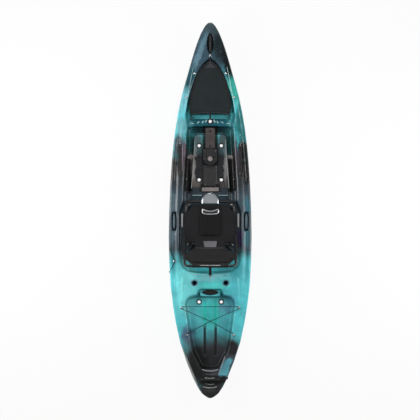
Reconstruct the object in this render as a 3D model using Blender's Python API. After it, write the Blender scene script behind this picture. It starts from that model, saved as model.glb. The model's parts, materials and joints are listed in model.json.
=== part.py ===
"""Sit-on-top fishing kayak: a hollow moulded hull with its seat, covers, handles and fittings.

Metres, +Z up, bow towards +Y, the boat's left side at -X. The keel's flat rests on z = 0.
"""

import math

import bmesh
import bpy
from mathutils import Matrix, Vector

# Driving sizes of the hull
LENGTH = 3.66
BEAM = 0.81
HULL_WALL = 0.0042
BOW_HEIGHT = 0.40
SIDE_HEIGHT = 0.30
STERN_HEIGHT = 0.335
BOW_RISE = 0.15
STERN_RISE = 0.12
STEM_ROUNDING = 0.11
KEEL_TUNNEL = 0.020
DECK_GROOVE = 0.009
DECK_CROWN = 0.010

# Clearance between pieces that touch, and the angle from which an edge looks sharp
GAP = 0.0003
SHARP_EDGE = math.radians(32)

# Bow well and its cover
BOW_WELL_SETBACK = 0.350
BOW_WELL_LENGTH = 0.690
COVER_LENGTH = 0.546
COVER_SEAT = 0.004
COVER_REAR_CURVE = 0.012
BOW_WELL_HALF_WIDTH = 0.240
BOW_WELL_FLOOR = 0.205
# Shares of the cover's length, and of the well's half width
BOW_ARCH = (
    (0.10, 0.975),
    (0.20, 0.94),
    (0.30, 0.865),
    (0.40, 0.79),
    (0.50, 0.715),
    (0.615, 0.635),
    (0.727, 0.533),
    (0.817, 0.417),
    (0.883, 0.312),
    (0.945, 0.19),
)
COVER_CORNER = ((0.45, 0.008), (0.74, 0.0), (0.84, 0.018), (0.86, 0.070), (0.845, 0.125))
COVER_MEETS_ARCH = 3
COVER_STUD_FRONT = 6
COVER_STUD_REAR = 2
COVER_THICKNESS = 0.006

# Cockpit
COCKPIT_FRONT = 0.830
COCKPIT_REAR = -0.613
COCKPIT_FRONT_HALF_WIDTH = 0.227
COCKPIT_MID_HALF_WIDTH = 0.262
COCKPIT_SEAT_HALF_WIDTH = 0.303
COCKPIT_MID_Y = 0.24
COCKPIT_NEAR_FRONT_Y = 0.59
COCKPIT_NEAR_FRONT_SHARE = 0.75
FOOTWELL_FLOOR = 0.115
PLATEAU_TOP = 0.152
PLATEAU_FRONT = 0.735
PLATEAU_FRONT_HALF_WIDTH = 0.155
PLATEAU_REAR_HALF_WIDTH = 0.190
SEAT_LEDGE_TOP = 0.222
SEAT_LEDGE_HALF_GAP = 0.205
SEAT_LEDGE_FRONT = 0.190
CHANNEL_HALF_WIDTH = 0.062
CHANNEL_DEPTH = 0.010
CHANNEL_FRONT = 0.441
CHANNEL_REAR = 0.245
CHANNEL_DRAFT = 0.002

# Tank well
TANK_WELL_FRONT = -0.769
TANK_WELL_SETBACK = 0.284
TANK_WELL_HALF_WIDTH = 0.243
TANK_WELL_FLOOR = 0.190
TANK_SHELF_TOP = 0.262
TANK_GROOVE_SPACING = 0.108
TANK_GROOVE_WIDTH = 0.035
TANK_GROOVE_DEPTH = 0.008
TANK_GROOVE_LENGTH = 0.545
TANK_GROOVE_SETBACK = 0.107
TANK_SHELF_LENGTH = 0.090
TANK_SHELF_OVERLAP = 0.020

# Scuppers
SCUPPER_BORE = 0.030
SCUPPER_FLARE = 0.050
SCUPPER_FLARE_DEPTH = 0.010
SCUPPER_SPACING = 0.216
COCKPIT_SCUPPER_FRONT = 0.630
COCKPIT_SCUPPER_REAR = 0.297
TANK_SCUPPER_Y = -0.892
BOW_SCUPPER_Y = 0.866

# Rod holders
ROD_HOLDER_BORE = 0.052
ROD_HOLDER_MOUTH = 0.061
ROD_HOLDER_SPACING = 0.308
ROD_HOLDER_Y = -0.709
ROD_HOLDER_DEPTH = 0.190
ROD_HOLDER_TILT = math.radians(10)
ROD_HOLDER_SPLAY = 0.4

# Port between the rod holders
PORT_Y = -0.800
PORT_LENGTH = 0.165
PORT_WIDTH = 0.056
PORT_RECESS = 0.007
PORT_LIP = 0.010

# Carry handles
BOW_HANDLE_SETBACK = 0.2045
BOW_HANDLE_LENGTH = 0.175
BOW_HANDLE_RECESS_WIDTH = 0.066
BOW_HANDLE_RECESS_DEPTH = 0.038
SIDE_HANDLE_X = 0.352
SIDE_HANDLE_Y = -0.107
SIDE_HANDLE_LENGTH = 0.165
SIDE_HANDLE_WIDTH = 0.034
SIDE_HANDLE_RECESS_DEPTH = 0.030
STERN_HANDLE_SETBACK = 0.180
STERN_HANDLE_LENGTH = 0.190
GRIP_DIAMETER = 0.022
BOW_RECESS_LIP = 0.006
BOW_RECESS_DRAFT = 0.008
BOW_RECESS_MARGIN = 0.015
SIDE_RECESS_EDGE = 0.003
SIDE_RECESS_MARGIN = 0.008

# Gear tracks
TRACK_X = 0.293
TRACK_FRONT = 0.642
TRACK_LENGTH = 0.292
TRACK_WIDTH = 0.030
TRACK_HEIGHT = 0.014
TRACK_SLOT = 0.009
TRACK_SLOT_DEPTH = 0.008

# Rises of the handles' grips above the deck
BOW_GRIP_RISE = 0.014
SIDE_GRIP_RISE = 0.012
STERN_GRIP_RISE = 0.030
GRIP_BEND = 0.018

# Hidden pieces
DRAIN_BORE = 0.026
DRAIN_STATION = 4
FOAM_WIDTH = 0.075
FOAM_LENGTH = 0.300
BOW_FOAM_Y = 1.150
STERN_FOAM_Y = -1.200

# Console on the cockpit's floor
CONSOLE_REAR = 0.603
CONSOLE_WIDTH = 0.098
CONSOLE_HEIGHT = 0.036
MOUNT_BASE_WIDTH = 0.136
MOUNT_BASE_HEIGHT = 0.050
KNOB_Y = 0.502
KNOB_DIAMETER = 0.053
CHANNEL_STRIP_THICKNESS = 0.011
FLOOR_STEP_Y = 0.204
FLOOR_STEP_WIDTH = 0.164
FLOOR_STEP_LENGTH = 0.038
FLOOR_STEP_HEIGHT = 0.016

# Foot braces
FOOT_RAIL_REAR = 0.300
FOOT_RAIL_LENGTH = 0.280
FOOT_RAIL_HEIGHT = 0.180
FOOT_RAIL_WIDTH = 0.028
FOOT_RAIL_THICKNESS = 0.011
RAIL_SEAT = 0.0007
FOOT_PEDAL_Y = 0.516
FOOT_PEDAL_INNER = 0.170
FOOT_PEDAL_THICKNESS = 0.022
FOOT_PEDAL_HEIGHT = 0.050
PEDAL_HOOK_RISE = 0.016
TRIGGER_THICKNESS = 0.004
TRIGGER_INSET = 0.006
TRIGGER_RISE = 0.004
TRIGGER_DROP = 0.040

# Seat
SEAT_BAR = 0.025
SEAT_BEND = 0.050
SEAT_FRAME_X = 0.235
SEAT_FOOT_HEIGHT = 0.040
SEAT_FRAME_HEIGHT = SEAT_LEDGE_TOP + SEAT_FOOT_HEIGHT
SEAT_FRONT = 0.085
SEAT_REAR = -0.330
SEAT_FOOT_FRONT = 0.000
SEAT_FOOT_REAR = -0.240
SEAT_FOOT_WIDTH = 0.034
SEAT_FOOT_LENGTH = 0.060
SEAT_BACK_X = 0.192
SEAT_BACK_TOP_X = 0.250
SEAT_BACK_FLARE = (0.045, 0.120)
SEAT_BACK_HEIGHT = 0.430
SEAT_RECLINE = math.radians(29)
SEAT_HINGE_Y = -0.335
SEAT_HINGE_RISE = 0.041
SEAT_HINGE_HEIGHT = SEAT_FRAME_HEIGHT + SEAT_HINGE_RISE
SEAT_BACK_TAIL = 0.018
BACK_SLING_START = 0.100
BACK_SLING_FOOT_X = 0.150
BACK_SLING_WIDE = (0.215, 0.300)
BACK_SLING_CUT = 0.080
BACK_SLING_ROUNDING = 0.015
BASE_SLING_MARGIN = 0.008
BASE_SLING_CUT = (0.100, 0.070)
BASE_SLING_ROUNDING = 0.020
BACK_SLING_MARGIN = 0.004
HINGE_BRACKET_THICKNESS = 0.014
HINGE_BRACKET_LENGTH = 0.044
HINGE_PIN = 0.008
HINGE_BRACKET_DROP = 0.020
HINGE_BRACKET_RISE = 0.016
SLING_THICKNESS = 0.005
BAIL_Y = 0.088
BAIL_REACH = 0.078
BAIL_TAIL = 0.020
BAIL_BAR = 0.009
BAIL_CLIP = 0.009
BAIL_CLIP_WALL = 0.004
TONGUE_THICKNESS = 0.004
BUCKLE_Y = -0.011
BUCKLE_WIDTH = 0.165
BUCKLE_LENGTH = 0.062
BUCKLE_HEIGHT = 0.010
SEAT_RAIL_X = 0.275
SEAT_RAIL_Y = -0.100
SEAT_RAIL_WIDTH = 0.024
SEAT_RAIL_LENGTH = 0.140
SEAT_RAIL_HEIGHT = 0.018
STRAP_WIDTH = 0.020
STRAP_THICKNESS = 0.002

# Studs, cords and the cover's tab
STUD_BASE = 0.022
STUD_POST = 0.009
STUD_HEAD = 0.018
STUD_SEAT = 0.003
STUD_NECK = 0.013
CORD_DIAMETER = 0.006
TANK_STUD_FRONT_X = 0.282
TANK_STUD_FRONT_Y = -0.947
TANK_STUD_REAR_X = 0.231
TANK_STUD_REAR_Y = -1.215
TANK_CROSS_Y = -1.081
PADDLE_HOOK_X = 0.350
PADDLE_HOOK_Y = -0.495
PADDLE_CORD_X = 0.392
PADDLE_CORD_FRONT = 0.119
PADDLE_CORD_REAR = 0.105
PULL_TAB_WIDTH = 0.012
PULL_TAB_LENGTH = 0.045
PULL_TAB_THICKNESS = 0.003
PORT_SEAL = 0.0012

# Reach of the cutters, and the lip and the draw of the moulded hollows
ABOVE_DECK = 0.60
BELOW_KEEL = 0.05
OVERCUT = 0.001
LIP = 0.012
DRAFT = 0.022

# Half beam against distance from the middle, as shares of half the length and half the beam
HALF_BEAM = (
    (-1.0, 0.03), (-0.992, 0.10), (-0.975, 0.20), (-0.892, 0.415), (-0.807, 0.57), (-0.68, 0.75),
    (-0.509, 0.896), (-0.339, 0.974), (-0.137, 1.0), (0.044, 0.98), (0.257, 0.926), (0.428, 0.842),
    (0.598, 0.70), (0.726, 0.54), (0.854, 0.373), (0.939, 0.23), (0.981, 0.125), (0.994, 0.075), (1.0, 0.03),
)
STATIONS = (
    -1.0, -0.992, -0.975, -0.94, -0.892, -0.807, -0.70, -0.60, -0.509, -0.40, -0.28, -0.137, 0.0, 0.13,
    0.257, 0.34, 0.428, 0.52, 0.598, 0.67, 0.726, 0.79, 0.854, 0.90, 0.939, 0.965, 0.981, 0.994, 1.0,
)


def material(name, colour, roughness, metallic=0.0):
    """A Principled material of one colour."""
    made = bpy.data.materials.new(name)
    made.use_nodes = True
    shader = made.node_tree.nodes["Principled BSDF"]
    shader.inputs["Base Color"].default_value = (*colour, 1.0)
    shader.inputs["Roughness"].default_value = roughness
    shader.inputs["Metallic"].default_value = metallic
    return made


def lerp(low, high, share):
    return low + (high - low) * share


def smooth_step(share):
    share = min(max(share, 0.0), 1.0)
    return share * share * (3 - 2 * share)


def along(points, at):
    """The value at a place along a list of (place, value), on a smooth curve without overshoot."""
    if at <= points[0][0]:
        return points[0][1]
    for i in range(len(points) - 1):
        (x0, v0), (x1, v1) = points[i], points[i + 1]
        if at <= x1:
            slope = (v1 - v0) / (x1 - x0)
            before = (v0 - points[i - 1][1]) / (x0 - points[i - 1][0]) if i else slope
            after = (points[i + 2][1] - v1) / (points[i + 2][0] - x1) if i + 2 < len(points) else slope
            m0 = 2 * before * slope / (before + slope) if before * slope > 0 else 0.0
            m1 = 2 * after * slope / (after + slope) if after * slope > 0 else 0.0
            t = (at - x0) / (x1 - x0)
            width = x1 - x0
            return (
                (2 * t**3 - 3 * t**2 + 1) * v0
                + (t**3 - 2 * t**2 + t) * width * m0
                + (3 * t**2 - 2 * t**3) * v1
                + (t**3 - t**2) * width * m1
            )
    return points[-1][1]


def half_beam(y):
    return along(HALF_BEAM, y / (LENGTH / 2)) * BEAM / 2


def keel_height(y):
    share = y / (LENGTH / 2)
    rise = BOW_RISE if y > 0 else STERN_RISE
    rocker = rise * max(0.0, (abs(share) - 0.50) / 0.50) ** 2.2
    return rocker + STEM_ROUNDING * max(0.0, (abs(share) - 0.92) / 0.08) ** 2.5


def sheer_height(y):
    share = y / (LENGTH / 2)
    tip = BOW_HEIGHT if y > 0 else STERN_HEIGHT
    return lerp(SIDE_HEIGHT, tip, abs(share) ** 2.4)


def end_share(y):
    """0 amidships, 1 at the bow and the stern, where the bottom is a V."""
    return smooth_step((abs(y) / (LENGTH / 2) - 0.55) / 0.40)


def half_section(y, inset=0.0):
    """Points of the hull's skin at y, from the keel round the side to the deck's centre."""
    b, k, s = half_beam(y) - inset, keel_height(y) + inset, sheer_height(y) - inset
    h = s - k
    v = end_share(y)
    crown = DECK_CROWN * (1 - v) + 0.16 * b * v
    edge = min(1.0, b / 0.08)
    groove = DECK_GROOVE * (1 - v)
    flat = ((0.0, 0.0), (0.07, 0.0), (0.30, KEEL_TUNNEL), (0.52, 0.006), (0.60, 0.0), (0.72, 0.0))
    vee = ((0.0, 0.0), (0.10, 0.015), (0.26, 0.10), (0.42, 0.22), (0.52, 0.31), (0.62, 0.40))
    points = []
    for (fx, fz), (vx, vz) in zip(flat, vee):
        points.append((lerp(fx, vx, v) * b, k + lerp(fz, vz * h, v)))
    points += [
        (lerp(0.88, 0.76, v) * b, k + lerp(0.18, 0.55, v) * h),
        (lerp(0.97, 0.92, v) * b, k + lerp(0.45, 0.75, v) * h),
        (b, k + lerp(0.80, 0.90, v) * h),
        (b - min(0.002, 0.008 * b), s - 0.012 * edge),
        (b - min(0.010, 0.040 * b), s - 0.002 * edge),
        (0.935 * b, s),
        (0.87 * b, s - groove),
        (0.80 * b, s + 0.003 * (1 - v) + 0.25 * crown * v),
        (0.50 * b, s + 0.7 * crown),
        (0.0, s + crown),
    ]
    return points


def skin_section(y):
    """The half section at y as the skin has it, straight between the two nearest stations."""
    share = min(max(y / (LENGTH / 2), -1.0), 1.0)
    for low, high in zip(STATIONS, STATIONS[1:]):
        if share <= high:
            part = (share - low) / (high - low)
            ends = zip(half_section(low * LENGTH / 2), half_section(high * LENGTH / 2))
            return [(lerp(x0, x1, part), lerp(z0, z1, part)) for (x0, z0), (x1, z1) in ends]
    return half_section(y)


def deck_height(x, y):
    """Height of the deck's skin over a point of the plan."""
    points = skin_section(y)[10:]
    x = abs(x)
    for (x0, z0), (x1, z1) in zip(points, points[1:]):
        if x >= x1:
            return lerp(z1, z0, min(1.0, (x - x1) / (x0 - x1)))
    return points[-1][1]


def collection(name):
    made = bpy.data.collections.new(name)
    bpy.context.scene.collection.children.link(made)
    return made


def add(name, mesh, finish=None, home=None):
    made = bpy.data.objects.new(name, mesh)
    (home or bpy.context.scene.collection).objects.link(made)
    if finish:
        mesh.materials.clear()
        mesh.materials.append(finish)
    return made


def close_mesh(name, points, faces, finish=None, home=None):
    """An object from points and faces, triangulated, its faces pointing out."""
    mesh = bpy.data.meshes.new(name)
    mesh.from_pydata([tuple(p) for p in points], [], faces)
    shape = bmesh.new()
    shape.from_mesh(mesh)
    bmesh.ops.remove_doubles(shape, verts=shape.verts, dist=1e-6)
    bmesh.ops.recalc_face_normals(shape, faces=shape.faces)
    bmesh.ops.triangulate(shape, faces=shape.faces)
    if shape.calc_volume(signed=True) < 0:
        bmesh.ops.reverse_faces(shape, faces=shape.faces)
    shape.to_mesh(mesh)
    shape.free()
    return add(name, mesh, finish, home)


def loft(name, rings, finish=None, home=None):
    """A closed body through rings of equal counts, capped at both ends."""
    count = len(rings[0])
    points = [p for ring in rings for p in ring]
    faces = [list(range(count))]
    for r in range(len(rings) - 1):
        for i in range(count):
            j = (i + 1) % count
            a, b = r * count, (r + 1) * count
            faces.append([a + i, a + j, b + j, b + i])
    faces.append([(len(rings) - 1) * count + i for i in range(count)])
    return close_mesh(name, points, faces, finish, home)


def offset(outline, distance):
    """A counter-clockwise plan outline moved outwards by a distance, square to its sides."""
    moved = []
    count = len(outline)
    for i in range(count):
        before, here, after = (Vector(outline[j][:2]) for j in ((i - 1) % count, i, (i + 1) % count))
        one = (here - before).normalized()
        two = (after - here).normalized()
        normal_one = Vector((one.y, -one.x))
        normal_two = Vector((two.y, -two.x))
        middle = (normal_one + normal_two).normalized()
        moved.append(here + middle * distance / max(0.5, middle.dot(normal_one)))
    return moved


def mirror_outline(right_half):
    """A whole outline, counter-clockwise, from its right half listed from the stern end to the bow end."""
    left = [(-x, y) for x, y in reversed(right_half) if x > 1e-6]
    return [tuple(p) for p in right_half] + left


def round_corner(corner, before, after, radius, steps=4):
    """Points of an arc that replaces a corner of an outline."""
    corner, before, after = Vector(corner), Vector(before), Vector(after)
    one, two = (before - corner).normalized(), (after - corner).normalized()
    half = one.angle(two) / 2
    reach = min(radius / math.tan(half), 0.45 * (before - corner).length, 0.45 * (after - corner).length)
    centre = corner + (one + two).normalized() * reach / math.cos(half)
    start, end = corner + one * reach, corner + two * reach
    angle_start = math.atan2(*(start - centre).yx)
    turn = math.atan2(*(end - centre).yx) - angle_start
    turn = (turn + math.pi) % (2 * math.pi) - math.pi
    size = (start - centre).length
    return [
        (
            centre.x + size * math.cos(angle_start + turn * i / steps),
            centre.y + size * math.sin(angle_start + turn * i / steps),
        )
        for i in range(steps + 1)
    ]


def rounded(outline, radius, steps=4):
    """A closed outline with every corner rounded."""
    count = len(outline)
    made = []
    for i in range(count):
        made += round_corner(outline[i], outline[i - 1], outline[(i + 1) % count], radius, steps)
    return made


def oval(x, y, length_x, length_y, steps=20):
    return [
        (
            x + length_x / 2 * math.cos(2 * math.pi * i / steps),
            y + length_y / 2 * math.sin(2 * math.pi * i / steps),
        )
        for i in range(steps)
    ]


def rectangle(x, y, width, length):
    return [
        (x - width / 2, y - length / 2),
        (x + width / 2, y - length / 2),
        (x + width / 2, y + length / 2),
        (x - width / 2, y + length / 2),
    ]


def level(outline, height):
    """A ring of points over an outline; the height is a number or a function of x and y."""
    return [(x, y, height(x, y) if callable(height) else height) for x, y in outline]


def well(name, outline, floor, grow, home, lip=LIP, draft=DRAFT):
    """A cutter for a moulded hollow, open above, with drawn-in walls and a sloped lip."""
    return loft(
        name,
        [
            level(offset(outline, grow - draft), floor - grow),
            level(offset(outline, grow), lambda x, y: max(deck_height(x, y) - lip, floor + OVERCUT) - grow),
            level(offset(outline, grow + lip), lambda x, y: deck_height(x, y) + 0.0005 - grow),
            level(offset(outline, grow + lip), ABOVE_DECK),
        ],
        home=home,
    )


def island(name, outline, top, grow, home, draft=0.008):
    """A raised part of a well's floor, with sloped sides."""
    return loft(
        name,
        [
            level(offset(outline, draft - grow), FOOTWELL_FLOOR - 0.03),
            level(offset(outline, 0.004 - grow), top - 0.004 - grow),
            level(offset(outline, -grow), top - grow),
        ],
        home=home,
    )


def turned(name, start, axis, profile, sides=20, finish=None, home=None):
    """A round piece: the profile lists distances along the axis from the start, each with its radius."""
    start, axis = Vector(start), Vector(axis).normalized()
    across = axis.orthogonal().normalized()
    other = axis.cross(across)
    rings = []
    for distance, radius in profile:
        ring = []
        for i in range(sides):
            angle = 2 * math.pi * (i + 0.5) / sides
            outwards = math.cos(angle) * across + math.sin(angle) * other
            ring.append(start + axis * distance + radius * outwards)
        rings.append(ring)
    return loft(name, rings, finish, home)


def bar(name, start, end, radius, sides=12, finish=None, home=None):
    """A straight round bar between two points."""
    start, end = Vector(start), Vector(end)
    profile = [(0.0, radius), ((end - start).length, radius)]
    return turned(name, start, end - start, profile, sides, finish, home)


def combine(target, operation, others):
    """Carries out a Boolean of an object with a collection, and keeps its result as the object's mesh."""
    modifier = target.modifiers.new("combine", "BOOLEAN")
    modifier.operation = operation
    modifier.operand_type = "COLLECTION"
    modifier.collection = others
    bpy.context.view_layer.update()
    graph = bpy.context.evaluated_depsgraph_get()
    mesh = bpy.data.meshes.new_from_object(target.evaluated_get(graph))
    target.modifiers.clear()
    old = target.data
    target.data = mesh
    bpy.data.meshes.remove(old)
    for other in list(others.objects):
        bpy.data.objects.remove(other)
    bpy.data.collections.remove(others)


def bow_y(setback):
    return LENGTH / 2 - setback


def stern_y(setback):
    return setback - LENGTH / 2


def bow_well_outline():
    """A pointed arch, its tip towards the bow."""
    tip = bow_y(BOW_WELL_SETBACK)
    rear = tip - BOW_WELL_LENGTH
    wide = BOW_WELL_HALF_WIDTH
    side = tip - COVER_LENGTH
    right = [(0.0, rear), (0.91 * wide, rear), (0.965 * wide, lerp(rear, side, 0.6)), (wide, side)]
    return mirror_outline(right + bow_arch())


def bow_arch():
    """The right side of the bow well's arch, from the cover's rear corner to the tip."""
    tip = bow_y(BOW_WELL_SETBACK)
    points = [(width * BOW_WELL_HALF_WIDTH, tip - COVER_LENGTH * (1 - share)) for share, width in BOW_ARCH]
    return points + [(0.0, tip)]


def cockpit_mid_point():
    return COCKPIT_MID_HALF_WIDTH - 0.004, COCKPIT_MID_Y


def cockpit_near_front_point():
    half_width = lerp(COCKPIT_MID_HALF_WIDTH, COCKPIT_FRONT_HALF_WIDTH, COCKPIT_NEAR_FRONT_SHARE)
    return half_width, COCKPIT_NEAR_FRONT_Y


def cockpit_outline():
    """The cockpit's rim, from its round rear to its square front."""
    seat, mid, front = COCKPIT_SEAT_HALF_WIDTH, COCKPIT_MID_HALF_WIDTH, COCKPIT_FRONT_HALF_WIDTH
    rear = COCKPIT_REAR
    right = [(0.0, rear), (0.40 * seat, rear + 0.003), (0.66 * seat, rear + 0.013)]
    right += [(0.86 * seat, rear + 0.048), (0.96 * seat, rear + 0.115), (seat, rear + 0.26)]
    right += [(seat, -0.02), (mid, 0.09), cockpit_mid_point()]
    right += [cockpit_near_front_point(), (front, 0.78), (front - 0.022, COCKPIT_FRONT - 0.012)]
    right += [(front - 0.055, COCKPIT_FRONT), (0.0, COCKPIT_FRONT)]
    return mirror_outline(right)


def tank_well_outline():
    front, rear, wide = TANK_WELL_FRONT, stern_y(TANK_WELL_SETBACK), TANK_WELL_HALF_WIDTH
    right = [(0.0, rear), (0.30 * wide, rear + 0.004), (0.39 * wide, rear + 0.02), (0.72 * wide, rear + 0.18)]
    right += [(0.82 * wide, rear + 0.31), (0.97 * wide, front - 0.20), (wide, front - 0.15)]
    right += [(0.96 * wide, front - 0.112), (0.86 * wide, front - 0.080), (0.76 * wide, front - 0.069)]
    right += [(0.55 * wide, front - 0.055), (0.49 * wide, front - 0.012), (0.42 * wide, front), (0.0, front)]
    return mirror_outline(right)


def plateau_outline():
    front, rear = PLATEAU_FRONT_HALF_WIDTH, PLATEAU_REAR_HALF_WIDTH
    right = [(rear, COCKPIT_REAR - 0.03), (rear, SEAT_LEDGE_FRONT), (lerp(rear, front, 0.5), 0.45)]
    right += [(front, PLATEAU_FRONT - 0.02), (front - 0.02, PLATEAU_FRONT)]
    return mirror_outline(right)


def ledge_outline(side):
    """The shelf beside the seat, from the foot of the cockpit's wall inwards."""
    inner, outer = SEAT_LEDGE_HALF_GAP, COCKPIT_SEAT_HALF_WIDTH + 0.03
    shape = [(inner, COCKPIT_REAR - 0.03), (outer, COCKPIT_REAR - 0.03), (outer, SEAT_LEDGE_FRONT)]
    shape += [(inner + 0.02, SEAT_LEDGE_FRONT), (inner, SEAT_LEDGE_FRONT - 0.02)]
    return shape if side > 0 else [(-x, y) for x, y in reversed(shape)]


def scupper_places():
    """Each scupper's plan place and the height of the floor that it drains."""
    half = SCUPPER_SPACING / 2
    places = [(0.0, BOW_SCUPPER_Y, BOW_WELL_FLOOR)]
    for side in (-1, 1):
        places.append((side * half, COCKPIT_SCUPPER_FRONT, PLATEAU_TOP))
        places.append((side * half, COCKPIT_SCUPPER_REAR, PLATEAU_TOP))
        places.append((side * half, TANK_SCUPPER_Y, TANK_WELL_FLOOR))
    return places


def rod_holder_axis(side):
    """Mouth and foot of a rod holder; its top leans aft and out."""
    x, y = ROD_HOLDER_SPACING / 2, ROD_HOLDER_Y
    aft, down = math.sin(ROD_HOLDER_TILT), math.cos(ROD_HOLDER_TILT)
    lean = Vector((-side * ROD_HOLDER_SPLAY * aft, aft, -down))
    return Vector((side * x, y, deck_height(x, y))), lean.normalized()


def hull_skin(name, grow):
    """The hull's outer shape, or with grow its inner skin, as one closed body."""
    rings = []
    for share in STATIONS:
        y = share * (LENGTH / 2 - 2 * grow)
        right = half_section(y, grow)
        ring = [(x, z) for x, z in right] + [(-x, z) for x, z in reversed(right[1:-1])]
        rings.append([(x, y, z) for x, z in ring])
    body = loft(name, rings)

    cuts = collection("cuts")
    well("bow_well", bow_well_outline(), BOW_WELL_FLOOR, grow, cuts)
    well("cockpit", cockpit_outline(), FOOTWELL_FLOOR, grow, cuts)
    well("tank_well", tank_well_outline(), TANK_WELL_FLOOR, grow, cuts)
    bow_recess_length = BOW_HANDLE_LENGTH + 2 * BOW_RECESS_MARGIN
    bow_recess = oval(0, bow_y(BOW_HANDLE_SETBACK), BOW_HANDLE_RECESS_WIDTH, bow_recess_length)
    bow_recess_floor = deck_height(0, bow_y(BOW_HANDLE_SETBACK)) - BOW_HANDLE_RECESS_DEPTH
    well("bow_recess", bow_recess, bow_recess_floor, grow, cuts, BOW_RECESS_LIP, BOW_RECESS_DRAFT)
    for side in (-1, 1):
        length = SIDE_HANDLE_LENGTH + 2 * SIDE_RECESS_MARGIN
        place = rectangle(side * SIDE_HANDLE_X, SIDE_HANDLE_Y, SIDE_HANDLE_WIDTH + SIDE_RECESS_MARGIN, length)
        floor = deck_height(SIDE_HANDLE_X, SIDE_HANDLE_Y) - SIDE_HANDLE_RECESS_DEPTH
        well("side_recess", rounded(place, 0.012, 2), floor, grow, cuts, SIDE_RECESS_EDGE, SIDE_RECESS_EDGE)
        middle = TRACK_FRONT - TRACK_LENGTH / 2
        slot = rectangle(side * TRACK_X, middle, TRACK_WIDTH + 2 * GAP, TRACK_LENGTH + 2 * GAP)
        floor = track_seat(middle)
        well("track_slot", slot, floor, grow, cuts, 0.0, 0.0)
    combine(body, "DIFFERENCE", cuts)

    raised = collection("raised")
    island("plateau", plateau_outline(), PLATEAU_TOP, grow, raised)
    for side in (-1, 1):
        island("ledge", ledge_outline(side), SEAT_LEDGE_TOP, grow, raised)
    shelf = rectangle(0, TANK_WELL_FRONT - TANK_SHELF_OVERLAP, 0.8 * TANK_WELL_HALF_WIDTH, TANK_SHELF_LENGTH)
    island("shelf", shelf, TANK_SHELF_TOP, grow, raised)
    combine(body, "UNION", raised)

    holes = collection("holes")
    for x, y, floor in scupper_places():
        bore, flare = SCUPPER_BORE / 2 + grow, SCUPPER_FLARE / 2 + grow
        top = BELOW_KEEL + floor - grow + OVERCUT
        profile = [(0.0, bore), (top - SCUPPER_FLARE_DEPTH, bore), (top, flare), (top + 0.01, flare)]
        turned("scupper", (x, y, -BELOW_KEEL), (0, 0, 1), profile, 12, home=holes)
    for side in (-1, 1):
        mouth, lean = rod_holder_axis(side)
        bore, rim = ROD_HOLDER_BORE / 2 + grow, ROD_HOLDER_MOUTH / 2 + grow
        profile = [(-0.05, rim), (grow, rim), (0.014 + grow, bore), (ROD_HOLDER_DEPTH + grow, bore)]
        turned("rod_holder", mouth, lean, profile, 14, home=holes)
        groove_y = TANK_WELL_FRONT - TANK_GROOVE_SETBACK - TANK_GROOVE_LENGTH / 2
        groove = rectangle(side * TANK_GROOVE_SPACING / 2, groove_y, TANK_GROOVE_WIDTH, TANK_GROOVE_LENGTH)
        outline = rounded(groove, TANK_GROOVE_WIDTH / 2.2, 2)
        low = level(offset(outline, grow - 0.004), TANK_WELL_FLOOR - TANK_GROOVE_DEPTH - grow)
        high = level(offset(outline, grow), TANK_WELL_FLOOR + OVERCUT - grow)
        loft("groove", [low, high], home=holes)
    middle, length = (CHANNEL_FRONT + CHANNEL_REAR) / 2, CHANNEL_FRONT - CHANNEL_REAR
    channel = rectangle(0, middle, 2 * CHANNEL_HALF_WIDTH, length)
    low = level(offset(channel, grow - CHANNEL_DRAFT), PLATEAU_TOP - CHANNEL_DEPTH - grow)
    high = level(offset(channel, grow), PLATEAU_TOP + OVERCUT - grow)
    loft("channel", [low, high], home=holes)
    recess = oval(0, PORT_Y, PORT_LENGTH + 2 * GAP, PORT_WIDTH + 2 * GAP, 20)
    floor = TANK_SHELF_TOP - PORT_RECESS - grow
    recess = offset(recess, grow)
    loft("port", [level(recess, floor), level(recess, TANK_SHELF_TOP + 0.05)], home=holes)
    combine(body, "DIFFERENCE", holes)
    return body


def track_seat(y):
    """Height of the floor of a gear track's slot, with the track's top flush with the deck."""
    return deck_height(TRACK_X, y) - TRACK_HEIGHT


def make_hull(finish):
    body = hull_skin("hull", 0.0)
    hollow = collection("hollow")
    inner = hull_skin("inner", HULL_WALL)
    bpy.context.scene.collection.objects.unlink(inner)
    hollow.objects.link(inner)
    combine(body, "DIFFERENCE", hollow)
    openings = collection("openings")
    place, out = drain_axis()
    turned("drain_hole", place, out, [(-0.03, DRAIN_BORE / 2), (0.02, DRAIN_BORE / 2)], 16, home=openings)
    hole = oval(0, PORT_Y, PORT_LENGTH - 2 * PORT_LIP, PORT_WIDTH - 2 * PORT_LIP, 20)
    port_floor = TANK_SHELF_TOP - PORT_RECESS
    loft("port_hole", [level(hole, port_floor - 0.03), level(hole, port_floor + 0.03)], home=openings)
    combine(body, "DIFFERENCE", openings)
    body.data.materials.clear()
    body.data.materials.append(finish)
    return body


def box(name, low, high, finish=None, home=None):
    x0, y0, z0 = low
    x1, y1, z1 = high
    outline = [(x0, y0), (x1, y0), (x1, y1), (x0, y1)]
    return loft(name, [level(outline, z0), level(outline, z1)], finish, home)


def plate(name, outline, low, high, finish=None, home=None, edge=0.0):
    """A flat piece over an outline; with an edge its top corner is chamfered."""
    rings = [level(outline, low), level(outline, high)]
    if edge:
        rings = [level(outline, low), level(outline, high - edge), level(offset(outline, -edge), high)]
    return loft(name, rings, finish, home)


def bent_bar(name, points, radius, finish=None, cyclic=False, sides=3):
    """A round bar or a cord along a list of points."""
    curve = bpy.data.curves.new(name, "CURVE")
    curve.dimensions = "3D"
    curve.bevel_depth = radius
    curve.bevel_resolution = sides
    curve.use_fill_caps = not cyclic
    spline = curve.splines.new("POLY")
    spline.points.add(len(points) - 1)
    for point, place in zip(spline.points, points):
        point.co = (*place, 1.0)
    spline.use_cyclic_u = cyclic
    made = bpy.data.objects.new(name, curve)
    bpy.context.scene.collection.objects.link(made)
    if finish:
        curve.materials.append(finish)
    return made


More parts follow.
